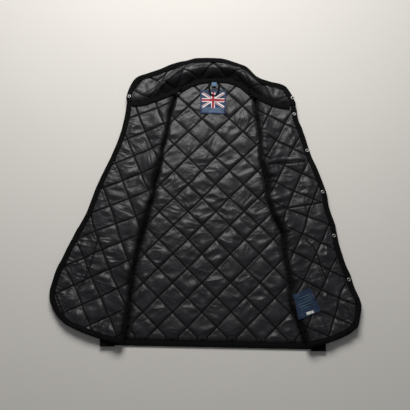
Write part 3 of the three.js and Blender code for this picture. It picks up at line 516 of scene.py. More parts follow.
def lower_cut(front, points):
    """Places on the hidden layer, carried into the flat cut before the roll."""
    points = np.asarray(points, float)
    s, q = fold_coordinates(front, points[..., 0], points[..., 1])
    return join(roll_centre(q) - s, q)


def ripples(side, x, y):
    """Slow waves of the loose cloth: long ones that run up the front's lower half, sharp-backed
    ones at its corner, and broad ones over the whole."""
    lower = smooth((RIPPLE["long_y"] - y) / RIPPLE["long_run"])
    slanted = x * side * 0.96 + y * 0.28
    waves = lower * wave("long_ripple", slanted, y * 0.22, side)
    outwards = side * (x - BACK_CENTRE_X)
    corner = (smooth((RIPPLE["corner_y"] - y) / RIPPLE["corner_run"])
              * smooth((outwards - RIPPLE["corner_x"]) / RIPPLE["corner_x_run"]))
    crest = (1.0 - np.abs(wave("corner_ripple", slanted, y * 0.16, side))) ** 3
    waves = waves + (RIPPLE["crest"] + RIPPLE["crest_by_side"] * side) * corner * crest
    below_neck = smooth((RIPPLE["broad_y"] - y) / RIPPLE["broad_run"])
    return waves + wave("broad_ripple", x, y, side) * below_neck


def rest_height(front, x, y):
    """Height of the upper layer's plain side: it leaves the roll, settles on the layers below,
    drops past the side seam and lifts again at the hem and the corner."""
    s, q = fold_coordinates(front, x, y)
    at_roll = BACK_HIDDEN + SEAM_GAP + FRONT_HIDDEN + 2 * roll_inner(q) - REST["over_layers"]
    in_at_armhole = smooth((y - REST["armpit_y"]) / REST["armpit_run"])
    half = REST["half_width"] - REST["armhole_in"] * in_at_armhole
    outside = smooth((front["side"] * (x - BACK_CENTRE_X) - half) / REST["side_run"])
    at_hem = smooth((REST["hem_lift_y"] - y) / REST["hem_lift_run"])
    at_corner = smooth((REST["corner_lift_y"] - y) / REST["corner_lift_run"]) * outside
    height = REST["over_layers"] + at_roll * (1 - smooth((s - roll_centre(q)) / REST["settle"]))
    height = height - REST["side_drop"] * outside + REST["hem_lift"] * at_hem
    height = height + REST["corner_lift"] * at_corner
    above_hem = smooth((y + 350.0) / 30.0 + 0.4)
    loose = smooth((s - REST["loose_from"]) / REST["loose_run"]) * above_hem
    return height + loose * np.maximum(ripples(front["side"], x, y), REST["lowest_ripple"])


def roll_allowance(p):
    """The most that the wall may swell: its hidden thickness, then one wall more over the roll's
    second third, and three more over its last."""
    third = ROLL_DEVELOPED / 3
    return (FRONT_HIDDEN + ROLL_WALL * np.clip(p / third - 1, 0, 1)
            + 3 * ROLL_WALL * np.clip(p / third - 2, 0, 1))


def lay_front(front, p, q, height):
    """From the flat cut to the table. Below zero the cloth lies on the back, then it turns half
    round the roll, and past the roll it lies back outwards on its rest height."""
    p, q, height = np.broadcast_arrays(np.asarray(p, float), q, height)
    t = np.minimum(height, roll_allowance(p))
    inner, centre = roll_inner(q), roll_centre(q)
    middle = BACK_HIDDEN + SEAM_GAP + FRONT_HIDDEN + inner
    turn = math.pi * np.clip(p / ROLL_DEVELOPED, 0, 1)
    s = centre - (inner + t) * np.sin(turn)
    s = s + np.maximum(-p, 0) + np.maximum(p - ROLL_DEVELOPED, 0)
    z = middle - (inner + t) * np.cos(turn)
    x, y = lay_out(front, s, q)
    return join(x, y, np.where(p >= ROLL_DEVELOPED, rest_height(front, x, y) + t, z))


def gather_height(front, p, q):
    """Gathers that run out from the fold: each is a ridge that fades with its reach, and fine
    sharp-backed ones stand between them."""
    s = p - ROLL_DEVELOPED / 2
    total = np.zeros(np.shape(p))
    for along, reach, width, height, slant in front["gathers"]:
        off = (q - along - slant * s + wave("gather_bend", s, q, along)) / width
        start = wave("gather_start", q)
        ridge = front["gathered"] * height * (1 - smooth(s / reach)) * smooth((s + start) / 13.0)
        total = total + ridge * np.clip(1 - off * off, 0, 1) ** 2
    reach = 24.0 + wave("gather_reach", q)
    leaning = q + s * wave("gather_lean", q)
    fine = sharp(wave("fine_gather", 0.12 * s, leaning, front["side"]))
    return total + 0.5 * fine * (1 - smooth(s / reach)) * smooth((s + 3.0) / 8.0)


# Meshes

def to_part(points):
    """Table millimetres to the part's frame in metres."""
    flat = np.array(points, float).reshape(-1, 3)
    flat[:, :2] -= FOOTPRINT_CENTRE
    return flat * MILLIMETRE


def add_mesh(name, points, faces, material, uv=None, attributes=None, smooth_shaded=True):
    """Puts points, faces, a UV per point and other numbers per point into a new object."""
    mesh = bpy.data.meshes.new(name)
    mesh.from_pydata(to_part(points).tolist(), [], faces)
    mesh.polygons.foreach_set("use_smooth", np.full(len(mesh.polygons), smooth_shaded))
    loops = np.zeros(len(mesh.loops), dtype=np.int32)
    mesh.loops.foreach_get("vertex_index", loops)
    if uv is not None:
        layer = mesh.uv_layers.new(name="UVMap")
        layer.data.foreach_set("uv", np.asarray(uv, np.float32).reshape(-1, 2)[loops].ravel())
    for key, values in (attributes or {}).items():
        values = np.asarray(values, np.float32)
        if values.ndim == 2:
            layer = mesh.color_attributes.new(key, "FLOAT_COLOR", "POINT")
            layer.data.foreach_set("color", values.ravel())
        else:
            mesh.attributes.new(key, "FLOAT", "POINT").data.foreach_set("value", values.ravel())
    mesh.update()
    made = bpy.data.objects.new(name, mesh)
    bpy.context.scene.collection.objects.link(made)
    mesh.materials.append(material)
    return made


def grid_faces(rows, columns, start=0):
    """Four-cornered faces of a grid whose points run row by row."""
    first = start + np.arange(rows * columns).reshape(rows, columns)
    corners = (first[:-1, :-1], first[:-1, 1:], first[1:, 1:], first[1:, :-1])
    return np.stack(corners, axis=-1).reshape(-1, 4)


def rim_of(rows, columns):
    """The numbers of a grid's outer points in one round."""
    grid = np.arange(rows * columns).reshape(rows, columns)
    return np.concatenate([grid[0, :-1], grid[:-1, -1], grid[-1, :0:-1], grid[:0:-1, 0]])


def slab_faces(rows, columns, stride):
    """Faces of a wall: the fine lining side, a coarser plain side, and a rim of faces that each
    take one stride of fine points and two coarse ones."""
    fine = grid_faces(rows, columns)
    low_rows, low_columns = (rows - 1) // stride + 1, (columns - 1) // stride + 1
    start = rows * columns
    coarse = grid_faces(low_rows, low_columns, start)[:, ::-1]
    upper, lower = rim_of(rows, columns), rim_of(low_rows, low_columns) + start
    pick = (np.arange(len(lower))[:, None] * stride + np.arange(stride + 1)[None, :]) % len(upper)
    feet = np.stack([np.roll(lower, -1), lower], axis=1)
    rim = np.concatenate([upper[pick], feet], axis=1)[:, ::-1]
    return fine.tolist() + coarse.tolist() + rim.tolist()


def facing_out(points, faces):
    """Turns all faces round where the closed form they make has a negative volume."""
    p = np.asarray(points, float).reshape(-1, 3)
    volume = 0.0
    for count in {len(face) for face in faces}:
        same = np.array([face for face in faces if len(face) == count])
        for k in range(1, count - 1):
            a, b, c = p[same[:, 0]], p[same[:, k]], p[same[:, k + 1]]
            volume += np.einsum("ij,ij->", a, np.cross(b, c))
    return faces if volume > 0 else [face[::-1] for face in faces]


def add_wall(name, upper, lower, painted_shade):
    """A quilted wall of lining from its own side's grid and the plain side's, one point in four."""
    rows, columns = upper.shape[:2]
    coarse = lower[::PLAIN_STRIDE, ::PLAIN_STRIDE]
    points = np.concatenate([upper.reshape(-1, 3), coarse.reshape(-1, 3)])
    faces = facing_out(points, slab_faces(rows, columns, PLAIN_STRIDE))
    # Painted shade per point: on the lining side's points, none on the plain side's
    painted_shades = np.zeros(len(points))
    painted_shades[:rows * columns] = painted_shade.ravel()
    return add_mesh(name, points, faces, finish_of("lining"), attributes={"painted_shade": painted_shades})


def add_tube(name, sections, run, across):
    """Braid of equal closed sections along a path, with a face at each end. Its UV is the length
    along the path and the place across it, in metres."""
    count, ring = sections.shape[:2]
    index = np.arange(count * ring).reshape(count, ring)
    after = np.roll(index, -1, axis=1)
    sides = np.stack([index[:-1], after[:-1], after[1:], index[1:]], axis=-1).reshape(-1, 4)
    faces = sides.tolist() + [index[0, ::-1].tolist(), index[-1].tolist()]
    uv = join(run[:, None], across[None, :]) * MILLIMETRE
    return add_mesh(name, sections, facing_out(sections, faces), finish_of("braid"), uv=uv)


def lay_grid(left, right, top, bottom):
    """A grid between four borders: the two pairs of borders are each joined by straight lines,
    added, and the straight join of the corners is taken away."""
    rows, columns = len(left), len(top)
    v = np.linspace(0, 1, rows)[:, None, None]
    u = np.linspace(0, 1, columns)[None, :, None]
    across = mix(left[:, None], right[:, None], u)
    down = mix(top[None, :], bottom[None, :], v)
    corners = mix(mix(top[0], top[-1], u), mix(bottom[0], bottom[-1], u), v)
    return across + down - corners


def steps_for(length, step):
    """How many points a length takes at a step, so that the plain side's stride ends on the last."""
    return PLAIN_STRIDE * max(1, round(length / step / PLAIN_STRIDE)) + 1


# Materials

def linear(hex_colour):
    """An sRGB hex colour as linear red, green and blue."""
    parts = np.array([int(hex_colour[i:i + 2], 16) for i in (1, 3, 5)]) / 255.0
    return tuple(np.where(parts <= 0.04045, parts / 12.92, ((parts + 0.055) / 1.055) ** 2.4).tolist())


def node(tree, kind, settings=None, links=None):
    """Adds a node, sets its properties and its inputs, and links inputs to given outputs."""
    made = tree.nodes.new(kind)
    for key, value in (settings or {}).items():
        if isinstance(key, str) and hasattr(made, key) and key not in made.inputs:
            setattr(made, key, value)
        else:
            made.inputs[key].default_value = value
    for key, output in (links or {}).items():
        tree.links.new(output, made.inputs[key])
    return made


def new_material(name):
    """An empty material and its node tree."""
    material = bpy.data.materials.new(name)
    material.use_nodes = True
    material.node_tree.nodes.clear()
    return material, material.node_tree


def close_material(tree, settings, links):
    """Ends a material in its shader, with what is even set on the shader's own inputs."""
    shader = node(tree, "ShaderNodeBsdfPrincipled", settings, links)
    node(tree, "ShaderNodeOutputMaterial", links={"Surface": shader.outputs["BSDF"]})


def lining_taffeta(colour):
    """Polyester taffeta, plain woven from filament yarn and calendered: smooth yarns give it a
    satin gloss, and its crinkles, about 4 mm long, break the light. Its weave of 0.1 mm is drawn
    about 1 mm wide, so that it shows. Shade is painted where the painted shade per point is strong:
    in the stitched channels, slits too narrow for the mesh, in the troughs beside the folds, inside
    the rolls, along seams and low in the collar. There both colour and gloss are taken away."""
    material, tree = new_material("lining_polyester_taffeta")
    place = node(tree, "ShaderNodeTexCoord").outputs["Object"]
    painted_shade = node(tree, "ShaderNodeAttribute", {"attribute_name": "painted_shade"}).outputs["Fac"]
    crinkle = node(tree, "ShaderNodeTexNoise", {"Scale": 260.0, "Detail": 4.0, "Roughness": 0.6},
                   {"Vector": place}).outputs["Fac"]
    weave = node(tree, "ShaderNodeTexNoise", {"Scale": 900.0, "Detail": 1.0},
                 {"Vector": place}).outputs["Fac"]
    patchy = node(tree, "ShaderNodeTexNoise", {"Scale": 18.0, "Detail": 3.0},
                  {"Vector": place}).outputs["Fac"]
    tone = node(tree, "ShaderNodeValToRGB", links={"Fac": patchy})
    dark = [0.72 * value for value in colour]
    tone.color_ramp.elements[0].position, tone.color_ramp.elements[0].color = 0.3, (*dark, 1)
    tone.color_ramp.elements[1].position, tone.color_ramp.elements[1].color = 0.7, (*colour, 1)
    # Painted shade: where it is strong the colour falls to a hundredth of the lining's
    painted_shade_colour = node(tree, "ShaderNodeMix", {"data_type": "RGBA", "blend_type": "MIX"})
    tree.links.new(painted_shade, painted_shade_colour.inputs[0])
    tree.links.new(tone.outputs["Color"], painted_shade_colour.inputs[6])
    painted_shade_colour.inputs[7].default_value = (*[0.01 * value for value in colour], 1)
    satin = node(tree, "ShaderNodeMapRange", {"From Min": 0.3, "From Max": 0.7, "To Min": 0.37,
                                              "To Max": 0.48}, {"Value": crinkle})
    roughness = node(tree, "ShaderNodeMath", {"operation": "MULTIPLY_ADD", 1: 0.45},
                     {0: painted_shade, 2: satin.outputs["Result"]})
    # Painted shade takes the gloss away too, by turning the near-black lining to metal
    gloss_cut_by_shade = node(tree, "ShaderNodeMath", {"operation": "MULTIPLY", 1: 0.8}, {0: painted_shade})
    relief = node(tree, "ShaderNodeBump", {"Strength": 0.4, "Distance": 0.0008},
                  {"Height": crinkle})
    fine = node(tree, "ShaderNodeBump", {"Strength": 0.15, "Distance": 0.0004},
                {"Height": weave, "Normal": relief.outputs["Normal"]})
    close_material(tree, {"IOR": 1.5, "Specular IOR Level": 0.42, "Sheen Weight": 0.03,
                          "Sheen Roughness": 0.45},
                   {"Base Color": painted_shade_colour.outputs[2], "Roughness": roughness.outputs["Value"],
                    "Metallic": gloss_cut_by_shade.outputs["Value"], "Normal": fine.outputs["Normal"]})
    return material


def ribbed_braid(colour):
    """Ribbed polyester braid, woven with a thick filling: matt cross ribs about 1 mm apart, drawn
    4.8 mm apart so that they show, with shade painted in the hollows between them, which darkens the
    colour to half, and a fine fuzz over all."""
    material, tree = new_material("braid_ribbed_polyester")
    uv = node(tree, "ShaderNodeTexCoord").outputs["UV"]
    ribs = node(tree, "ShaderNodeTexWave",
                {"wave_type": "BANDS", "bands_direction": "X", "Scale": WAVE_REPEAT / 0.0048,
                 "Distortion": 0.6, "Detail": 1.0}, {"Vector": uv}).outputs["Fac"]
    fuzz = node(tree, "ShaderNodeTexNoise", {"Scale": 420.0, "Detail": 3.0}, {"Vector": uv})
    # Painted shade between the ribs: the colour falls to half in each hollow
    tone = node(tree, "ShaderNodeValToRGB", links={"Fac": ribs})
    tone.color_ramp.elements[0].color = (*[0.5 * value for value in colour], 1)
    tone.color_ramp.elements[1].color = (*colour, 1)
    relief = node(tree, "ShaderNodeBump", {"Strength": 0.6, "Distance": 0.0006}, {"Height": ribs})
    fine = node(tree, "ShaderNodeBump", {"Strength": 0.3, "Distance": 0.0004},
                {"Height": fuzz.outputs["Fac"], "Normal": relief.outputs["Normal"]})
    close_material(tree, {"Roughness": 0.9, "IOR": 1.45, "Specular IOR Level": 0.15},
                   {"Base Color": tone.outputs["Color"], "Normal": fine.outputs["Normal"]})
    return material


def woven_label():
    """Damask-woven polyester label: dense matt threads in the colours of the weave. Their rows,
    0.2 mm apart, are drawn 1.6 mm apart so that they show."""
    material, tree = new_material("label_damask_woven")
    colour = node(tree, "ShaderNodeAttribute", {"attribute_name": "thread"}).outputs["Color"]
    place = node(tree, "ShaderNodeTexCoord").outputs["UV"]
    threads = node(tree, "ShaderNodeTexWave",
                   {"wave_type": "BANDS", "bands_direction": "Y",
                    "Scale": WAVE_REPEAT / 0.0016, "Distortion": 0.8}, {"Vector": place})
    relief = node(tree, "ShaderNodeBump", {"Strength": 0.35, "Distance": 0.0003},
                  {"Height": threads.outputs["Fac"]})
    close_material(tree, {"Roughness": 0.7, "IOR": 1.45, "Sheen Weight": 0.2},
                   {"Base Color": colour, "Normal": relief.outputs["Normal"]})
    return material


def nickel_brass(colour):
    """Pressed brass snap with bright nickel plating: worn satin, so it is evenly bright."""
    material, tree = new_material("snap_nickel_plated")
    place = node(tree, "ShaderNodeTexCoord").outputs["Object"]
    wear = node(tree, "ShaderNodeTexNoise", {"Scale": 700.0, "Detail": 4.0}, {"Vector": place})
    gloss = node(tree, "ShaderNodeMapRange", {"To Min": 0.34, "To Max": 0.5},
                 {"Value": wear.outputs["Fac"]})
    close_material(tree, {"Base Color": (*colour, 1), "Metallic": 1.0},
                   {"Roughness": gloss.outputs["Result"]})
    return material


def floor_board(colour):
    """Painted board: pale, matt and even, with a very slight mottle."""
    material, tree = new_material("floor_painted_board")
    place = node(tree, "ShaderNodeTexCoord").outputs["Object"]
    mottle = node(tree, "ShaderNodeTexNoise", {"Scale": 5.0, "Detail": 4.0}, {"Vector": place})
    tone = node(tree, "ShaderNodeValToRGB", links={"Fac": mottle.outputs["Fac"]})
    tone.color_ramp.elements[0].color = (*[0.97 * value for value in colour], 1)
    tone.color_ramp.elements[1].color = (*colour, 1)
    close_material(tree, {"Roughness": 0.85, "IOR": 1.45}, {"Base Color": tone.outputs["Color"]})
    return material


made_materials = {}


def finish_of(key):
    """The named finish, made once."""
    if key not in made_materials:
        colours = bpy.context.scene.vest_colours
        makers = {
            "lining": lambda: lining_taffeta(tuple(colours.lining)),
            "braid": lambda: ribbed_braid(tuple(colours.braid)),
            "label": woven_label,
            "nickel": lambda: nickel_brass(tuple(colours.nickel)),
            "floor": lambda: floor_board(tuple(colours.floor)),
        }
        made_materials[key] = makers[key]()
    return made_materials[key]


# Shared forms of the vest

RIGHT_FRONT = make_frame(RIGHT)
LEFT_FRONT = make_frame(LEFT)
NECK_LINE = curve_at(NECK_POINTS, np.linspace(0, len(NECK_POINTS) - 1, 73))
NECK_RUN = curve_at(NECK_POINTS, np.linspace(0, len(NECK_POINTS) - 1, 1301))
NECK_LENGTHS = lengths_along(NECK_RUN)
COLLAR_EDGE = smooth_path(np.vstack([NECK_LINE[0] + (0, SEAM_GAP), COLLAR_POINTS,
                                     NECK_LINE[-1] + (0, SEAM_GAP)]), 201)


def covered_share(s):
    """How far a fold covers the back at a distance out from its line, from 0 to 1."""
    return smooth((s + COVER_FROM) / COVER_RUN)


def cut_path(front):
    """The bound edge in the flat cut: down the centre front, round the corner, in along the hem,
    through the roll and out to the side seam."""
    points = np.vstack([upper_cut(front, front["edge"]), lower_cut(front, front["lower_hem"])])
    return smooth_path(points, 901)


for made_front in (RIGHT_FRONT, LEFT_FRONT):
    made_front["cut"] = cut_path(made_front)


def neck_of(front):
    """The stretch of the neck line that a front has, from its fold outwards."""
    beyond = front["side"] * (NECK_LINE[:, 0] - front["neck_from"]) > 0
    return NECK_LINE[beyond][::front["side"]]


def front_quilt(front):
    """The quilting's origin and turn, carried into the flat cut."""
    (x, y), turn = front["quilt"]
    s, q = fold_coordinates(front, np.array([x]), np.array([y]))
    origin = (float(ROLL_DEVELOPED + s[0] - roll_centre(q)[0]), float(q[0]))
    up = (-math.sin(math.radians(turn)), math.cos(math.radians(turn)))
    up_out = up[0] * front["out"][0] + up[1] * front["out"][1]
    up_along = up[0] * front["along"][0] + up[1] * front["along"][1]
    return origin, math.degrees(math.atan2(-up_out, up_along))


def front_wall(front, p, q, cloth):
    """Height of a front's lining side over its plain side, and its painted shade. Short and
    long puckers stand across the bound edge and each seam. Over the roll the wall rises from its
    hidden thickness. Shade is painted at its channels and seams, and darker inside the roll."""
    height, painted_shade = quilting(front_quilt(front), p, q, 400 + front["side"], cloth)
    from_edge, run = nearest_on(front["cut"][::6], p, q)
    from_edge = from_edge - BRAID_WIDTH
    from_neck = distance_to(upper_cut(front, neck_of(front)), p, q) - NECK_BAND
    height = near_edge(height, np.minimum(from_edge, from_neck))
    away = np.maximum(from_edge, 0.0)
    short = beside_seam(away, *EDGE_PUCKERS) * sharp(wave("edge_pucker", run, 0.3 * away))
    slanted = wave("long_edge_pucker", run + 0.3 * away, 0.3 * away)
    longer = beside_seam(away, *LONG_EDGE_PUCKERS) * sharp(slanted)
    low = smooth((q - 260.0) / 200.0)
    height = height + front["puckered"] * (1.2 + 1.2 * low) * (short + longer * (0.5 + low))
    x, y = lay_out(front, p - ROLL_DEVELOPED + roll_centre(q), q)
    for seam in front["seams"]:
        off, along = nearest_on(seam, x, y)
        drawn = beside_seam(off, *SEAM_PUCKERS) * sharp(wave("seam_pucker", along, 0.2 * off))
        height = height + SEAM["depth"] * (drawn - np.exp(-(off / SEAM["half_width"]) ** 2))
        # Painted shade along the seam
        painted_shade = np.maximum(painted_shade, SEAM["shade"] * np.exp(-(off / SEAM["shade_width"]) ** 2))
    turned = smooth((p - TURN_FROM) / TURN_RUN)
    risen = smooth((p - TURN_FROM) / OVER_ROLL["rise"])
    ridges = OVER_ROLL["ridge"] * sharp(wave("roll_ridge", q, 0.3 * p, front["side"]))
    ridges = ridges * np.exp(-np.maximum(p - OVER_ROLL["ridge_from"], 0.0) / OVER_ROLL["ridge_fade"])
    height = mix(FRONT_HIDDEN, np.maximum(height, 1.0) + ridges, risen)
    # Painted shade inside the roll, whose reach wanders along it
    shade_to = OVER_ROLL["shade_to"] + wave("roll_shade", q)
    shade = OVER_ROLL["shade"] * smooth((shade_to - p) / OVER_ROLL["shade_run"])
    return height + gather_height(front, p, q) * risen, np.maximum(painted_shade * turned, shade)


def back_wall(x, y, cloth):
    """Height of the back's lining side, and its painted shade. Beside each fold it sinks
    into a puckered trough with painted shade, broader lower down, and under the fold it is flat."""
    right_s, _ = fold_coordinates(RIGHT_FRONT, x, y)
    left_s, _ = fold_coordinates(LEFT_FRONT, x, y)
    beside = np.maximum(right_s, left_s)
    covered = covered_share(beside)
    height, painted_shade = quilting(BACK_QUILT, x, y, 200, cloth)
    wider = np.where(right_s > left_s, TROUGH["wider_right"], TROUGH["wider_left"])
    broad = TROUGH["width"] + wider * smooth((TROUGH["wider_y"] - y) / TROUGH["wider_run"])
    broad = broad + wave("trough_width", x, y)
    trough = smooth((beside + broad) / (0.75 * broad))
    drawn = sum(sharp(wave(name, 0.2 * beside, y)) for name in ("fine_trough", "broad_trough"))
    sunk = TROUGH["bed"] + TROUGH["kept"] * height + TROUGH["pucker"] * drawn
    height = mix(height, np.maximum(TROUGH["lowest"], sunk), trough)
    # Painted shade in the trough beside each fold
    shade = TROUGH["shade"] * smooth((beside + 0.9 * broad) / (0.8 * broad))
    painted_shade = np.maximum(painted_shade, shade)
    across = (x - HEM_AT_RIGHT[0]) / (HEM_AT_LEFT[0] - HEM_AT_RIGHT[0])
    hem = y - mix(HEM_AT_RIGHT[1], HEM_AT_LEFT[1], across) - BRAID_WIDTH
    height = near_edge(height, np.minimum(hem, distance_to(NECK_LINE, x, y) - NECK_BAND))
    return mix(height, BACK_HIDDEN, covered), painted_shade * (1 - covered)


def collar_rest(x, y):
    """The collar stands up behind the neck, between its two rolled creases, and rises to meet
    each front. Its stand grows with the distance from the neck seam and rolls over half way up."""
    from_neck = distance_to(NECK_LINE, x, y)
    outside = smooth((np.abs(x - BACK_CENTRE_X) - COLLAR_RISE["from"]) / COLLAR_RISE["run"])
    droop = 1 - COLLAR_RISE["droop"] * smooth(from_neck / COLLAR_RISE["droop_run"])
    between = np.ones(np.shape(x))
    for start, end, _, _, _, blend in COLLAR_RIDGES:
        _, off = ridge_place(start, end, x, y)
        outwards = math.copysign(1.0, BACK_CENTRE_X - start[0]) * off
        between = between * smooth(0.5 - outwards / blend)
    turned_over = smooth((from_neck - 8.0) / 18.0) * smooth((52.0 - from_neck) / 20.0)
    return (COLLAR_RISE["height"] * outside * droop
            + COLLAR_STAND * between * smooth(from_neck / STAND_RUN)
            + COLLAR_ROLL * between * turned_over)


def ridge_place(start, end, x, y):
    """How far along a crease a place lies, from 0 to 1, and how far off it, in millimetres."""
    length = math.hypot(end[0] - start[0], end[1] - start[1])
    dx, dy = (end[0] - start[0]) / length, (end[1] - start[1]) / length
    along = ((x - start[0]) * dx + (y - start[1]) * dy) / length
    return along, (x - start[0]) * dy - (y - start[1]) * dx


def ridge_height(x, y):
    """Each rolled crease is a flat-topped ridge, one less the fourth power of the distance off it,
    to the power 1.5, with a bell-shaped dip beside it. Both die out at its ends."""
    total = np.zeros(np.shape(x))
    for start, end, height, half, dip, _ in COLLAR_RIDGES:
        along, off = ridge_place(start, end, x, y)
        ends = smooth(4 * along) * smooth(4 - 4 * along)
        total = total + height * ends * np.clip(1 - (off / half) ** 4, 0, 1) ** 1.5
        outwards = math.copysign(1.0, BACK_CENTRE_X - start[0]) * off
        total = total - dip * ends * np.exp(-((outwards - 1.15 * half) / 4.5) ** 2)
    return total


def braid_strip(name, path, place, height_at):
    """The folded braid along a path of the cut: a rounded flat section, wide to the path's left,
    whose edge waves a little and whose faces dip at the row of stitching."""
    normals = left_normals(path)
    run = lengths_along(path)
    waving = wave("braid_wave", run) + wave("braid_waver", run)
    high = height_at(path[:, 0])
    section = np.array([
        (1.00, 0.04), (0.55, 0.0), (0.14, 0.02), (0.045, 0.16), (0.0, 0.5), (0.045, 0.84),
        (0.14, 0.98), (0.4, 1.0), (0.62, 0.98), (0.76, 0.93), (0.82, 0.84), (0.88, 0.92), (1.0, 0.9),
    ])
    inward = section[None, :, 0] * BRAID_WIDTH + waving[:, None] * 0.6
    outside_roll = high > BRAID_HEIGHT_IN_ROLL + 1.0
    lift = section[None, :, 1] * (high + 0.5 * waving * outside_roll)[:, None]
    u = path[:, 0, None] + normals[:, 0, None] * inward
    v = path[:, 1, None] + normals[:, 1, None] * inward
    return add_tube(name, place(u, v, lift), run, section[:, 0] * BRAID_WIDTH)


def settle(piece, node_name):
    """Hangs a piece on the vest's one body, in place of its solid."""
    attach(piece, "root")
    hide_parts(node_name)


def quad_grid(corners, rows, columns):
    """A grid over four corners, straight lines between straight lines, and its shares across and
    down from 0 to 1."""
    a, b, c, d = (np.array(corner, float) for corner in corners)
    u = np.linspace(0, 1, columns)[None, :, None]
    v = np.linspace(0, 1, rows)[:, None, None]
    return mix(mix(a, b, u), mix(d, c, u), v), *np.broadcast_arrays(u[..., 0], v[..., 0])


def add_cloth_patch(name, upper, thickness, finish, size_mm, threads=None):
    """A thin closed piece of cloth: its upper grid, the same grid lower down, and a rim. Its UV is
    the place on the flat cloth in metres, and a label's threads have their own colours."""
    rows, columns = upper.shape[:2]
    lower = upper - np.array([0, 0, thickness])
    points = np.concatenate([upper.reshape(-1, 3), lower.reshape(-1, 3)])
    faces = facing_out(points, slab_faces(rows, columns, 1))
    u, v = np.meshgrid(np.linspace(0, size_mm[0], columns), np.linspace(0, size_mm[1], rows))
    uv = np.tile(join(u, v).reshape(-1, 2) * MILLIMETRE, (2, 1))
    attributes = {}
    if threads is not None:
        attributes["thread"] = np.tile(threads.reshape(-1, 4), (2, 1))
    return add_mesh(name, points, faces, finish_of(finish), uv=uv, attributes=attributes)


# Settings

class ClothSettings(bpy.types.PropertyGroup):
    crown_mm: bpy.props.FloatProperty(
        name="Crown", description="Height of a padded square's middle, in mm", default=5.0)
    channel_mm: bpy.props.FloatProperty(
        name="Channel", description="Height of the wall at a stitched channel, in mm", default=0.9)
    fullness: bpy.props.FloatProperty(
        name="Fullness", description="Power of the padding's profile, lower is fuller", default=0.29)
    pucker_mm: bpy.props.FloatProperty(
        name="Pucker", description="Height of the puckers across the channels, in mm", default=1.5)
    pucker_reach_mm: bpy.props.FloatProperty(
        name="Pucker reach", description="How far the puckers run from a channel, in mm",
        default=8.0)
    groove_mm: bpy.props.FloatProperty(
        name="Groove", description="Half width of a stitched channel, in mm", default=1.8)
    groove_depth_mm: bpy.props.FloatProperty(
        name="Groove depth", description="How far a channel sinks, in mm", default=0.6)
    crease_mm: bpy.props.FloatProperty(
        name="Crease", description="Height of the wandering creases, in mm", default=1.1)
    dent_mm: bpy.props.FloatProperty(
        name="Dent", description="Height of the broad dents in each square, in mm", default=2.1)
    step_mm: bpy.props.FloatProperty(
        name="Step", description="Distance between the lining's points, in mm", default=1.7)
    back_step_mm: bpy.props.FloatProperty(
        name="Back step", description="Distance between the back's points, in mm", default=1.9)


class ColourSettings(bpy.types.PropertyGroup):
    lining: bpy.props.FloatVectorProperty(
        name="Lining", description="Colour of the lining", subtype="COLOR",
        default=linear("#29292d"))
    braid: bpy.props.FloatVectorProperty(
        name="Braid", description="Colour of the ribbed braid", subtype="COLOR",
        default=linear("#0f0f10"))
    nickel: bpy.props.FloatVectorProperty(
        name="Nickel", description="Colour of the snaps' plating", subtype="COLOR",
        default=linear("#a5a4a2"))
    floor: bpy.props.FloatVectorProperty(
        name="Floor", description="Colour of the floor", subtype="COLOR",
        default=linear("#eeebe6"))


class StageSettings(bpy.types.PropertyGroup):
    tilt: bpy.props.FloatProperty(
        name="Tilt", description="How far the camera leans from straight down", subtype="ANGLE",
        default=math.radians(13.0))
    distance: bpy.props.FloatProperty(
        name="Distance", description="From the camera to the vest", unit="LENGTH", default=1.434)
    lens: bpy.props.FloatProperty(
        name="Lens", description="Focal length of a camera with a 36 mm sensor", unit="CAMERA",
        default=49.43)
    key_power: bpy.props.FloatProperty(
        name="Window light", description="Power of the large soft light beyond the collar",
        default=26.5)
    fill: bpy.props.FloatProperty(
        name="Fill", description="Strength of the light from all round", default=0.11)


# Operators

class VEST_OT_camera(bpy.types.Operator):
    """Sets the camera over the vest, leaning from straight down towards the hem"""
    bl_idname = "vest.camera"
    bl_label = "Camera"

    def execute(self, context):
        stage = context.scene.vest_stage
        data = bpy.data.cameras.new("camera")
        data.lens = stage.lens
        data.sensor_width = 36.0
        camera = bpy.data.objects.new("camera", data)
        x, y = -FOOTPRINT_CENTRE * MILLIMETRE
        camera.location = (x, y - stage.distance * math.sin(stage.tilt),
                           stage.distance * math.cos(stage.tilt))
        camera.rotation_euler = (stage.tilt, 0.0, 0.0)
        context.scene.collection.objects.link(camera)
        context.scene.camera = camera
        return {"FINISHED"}


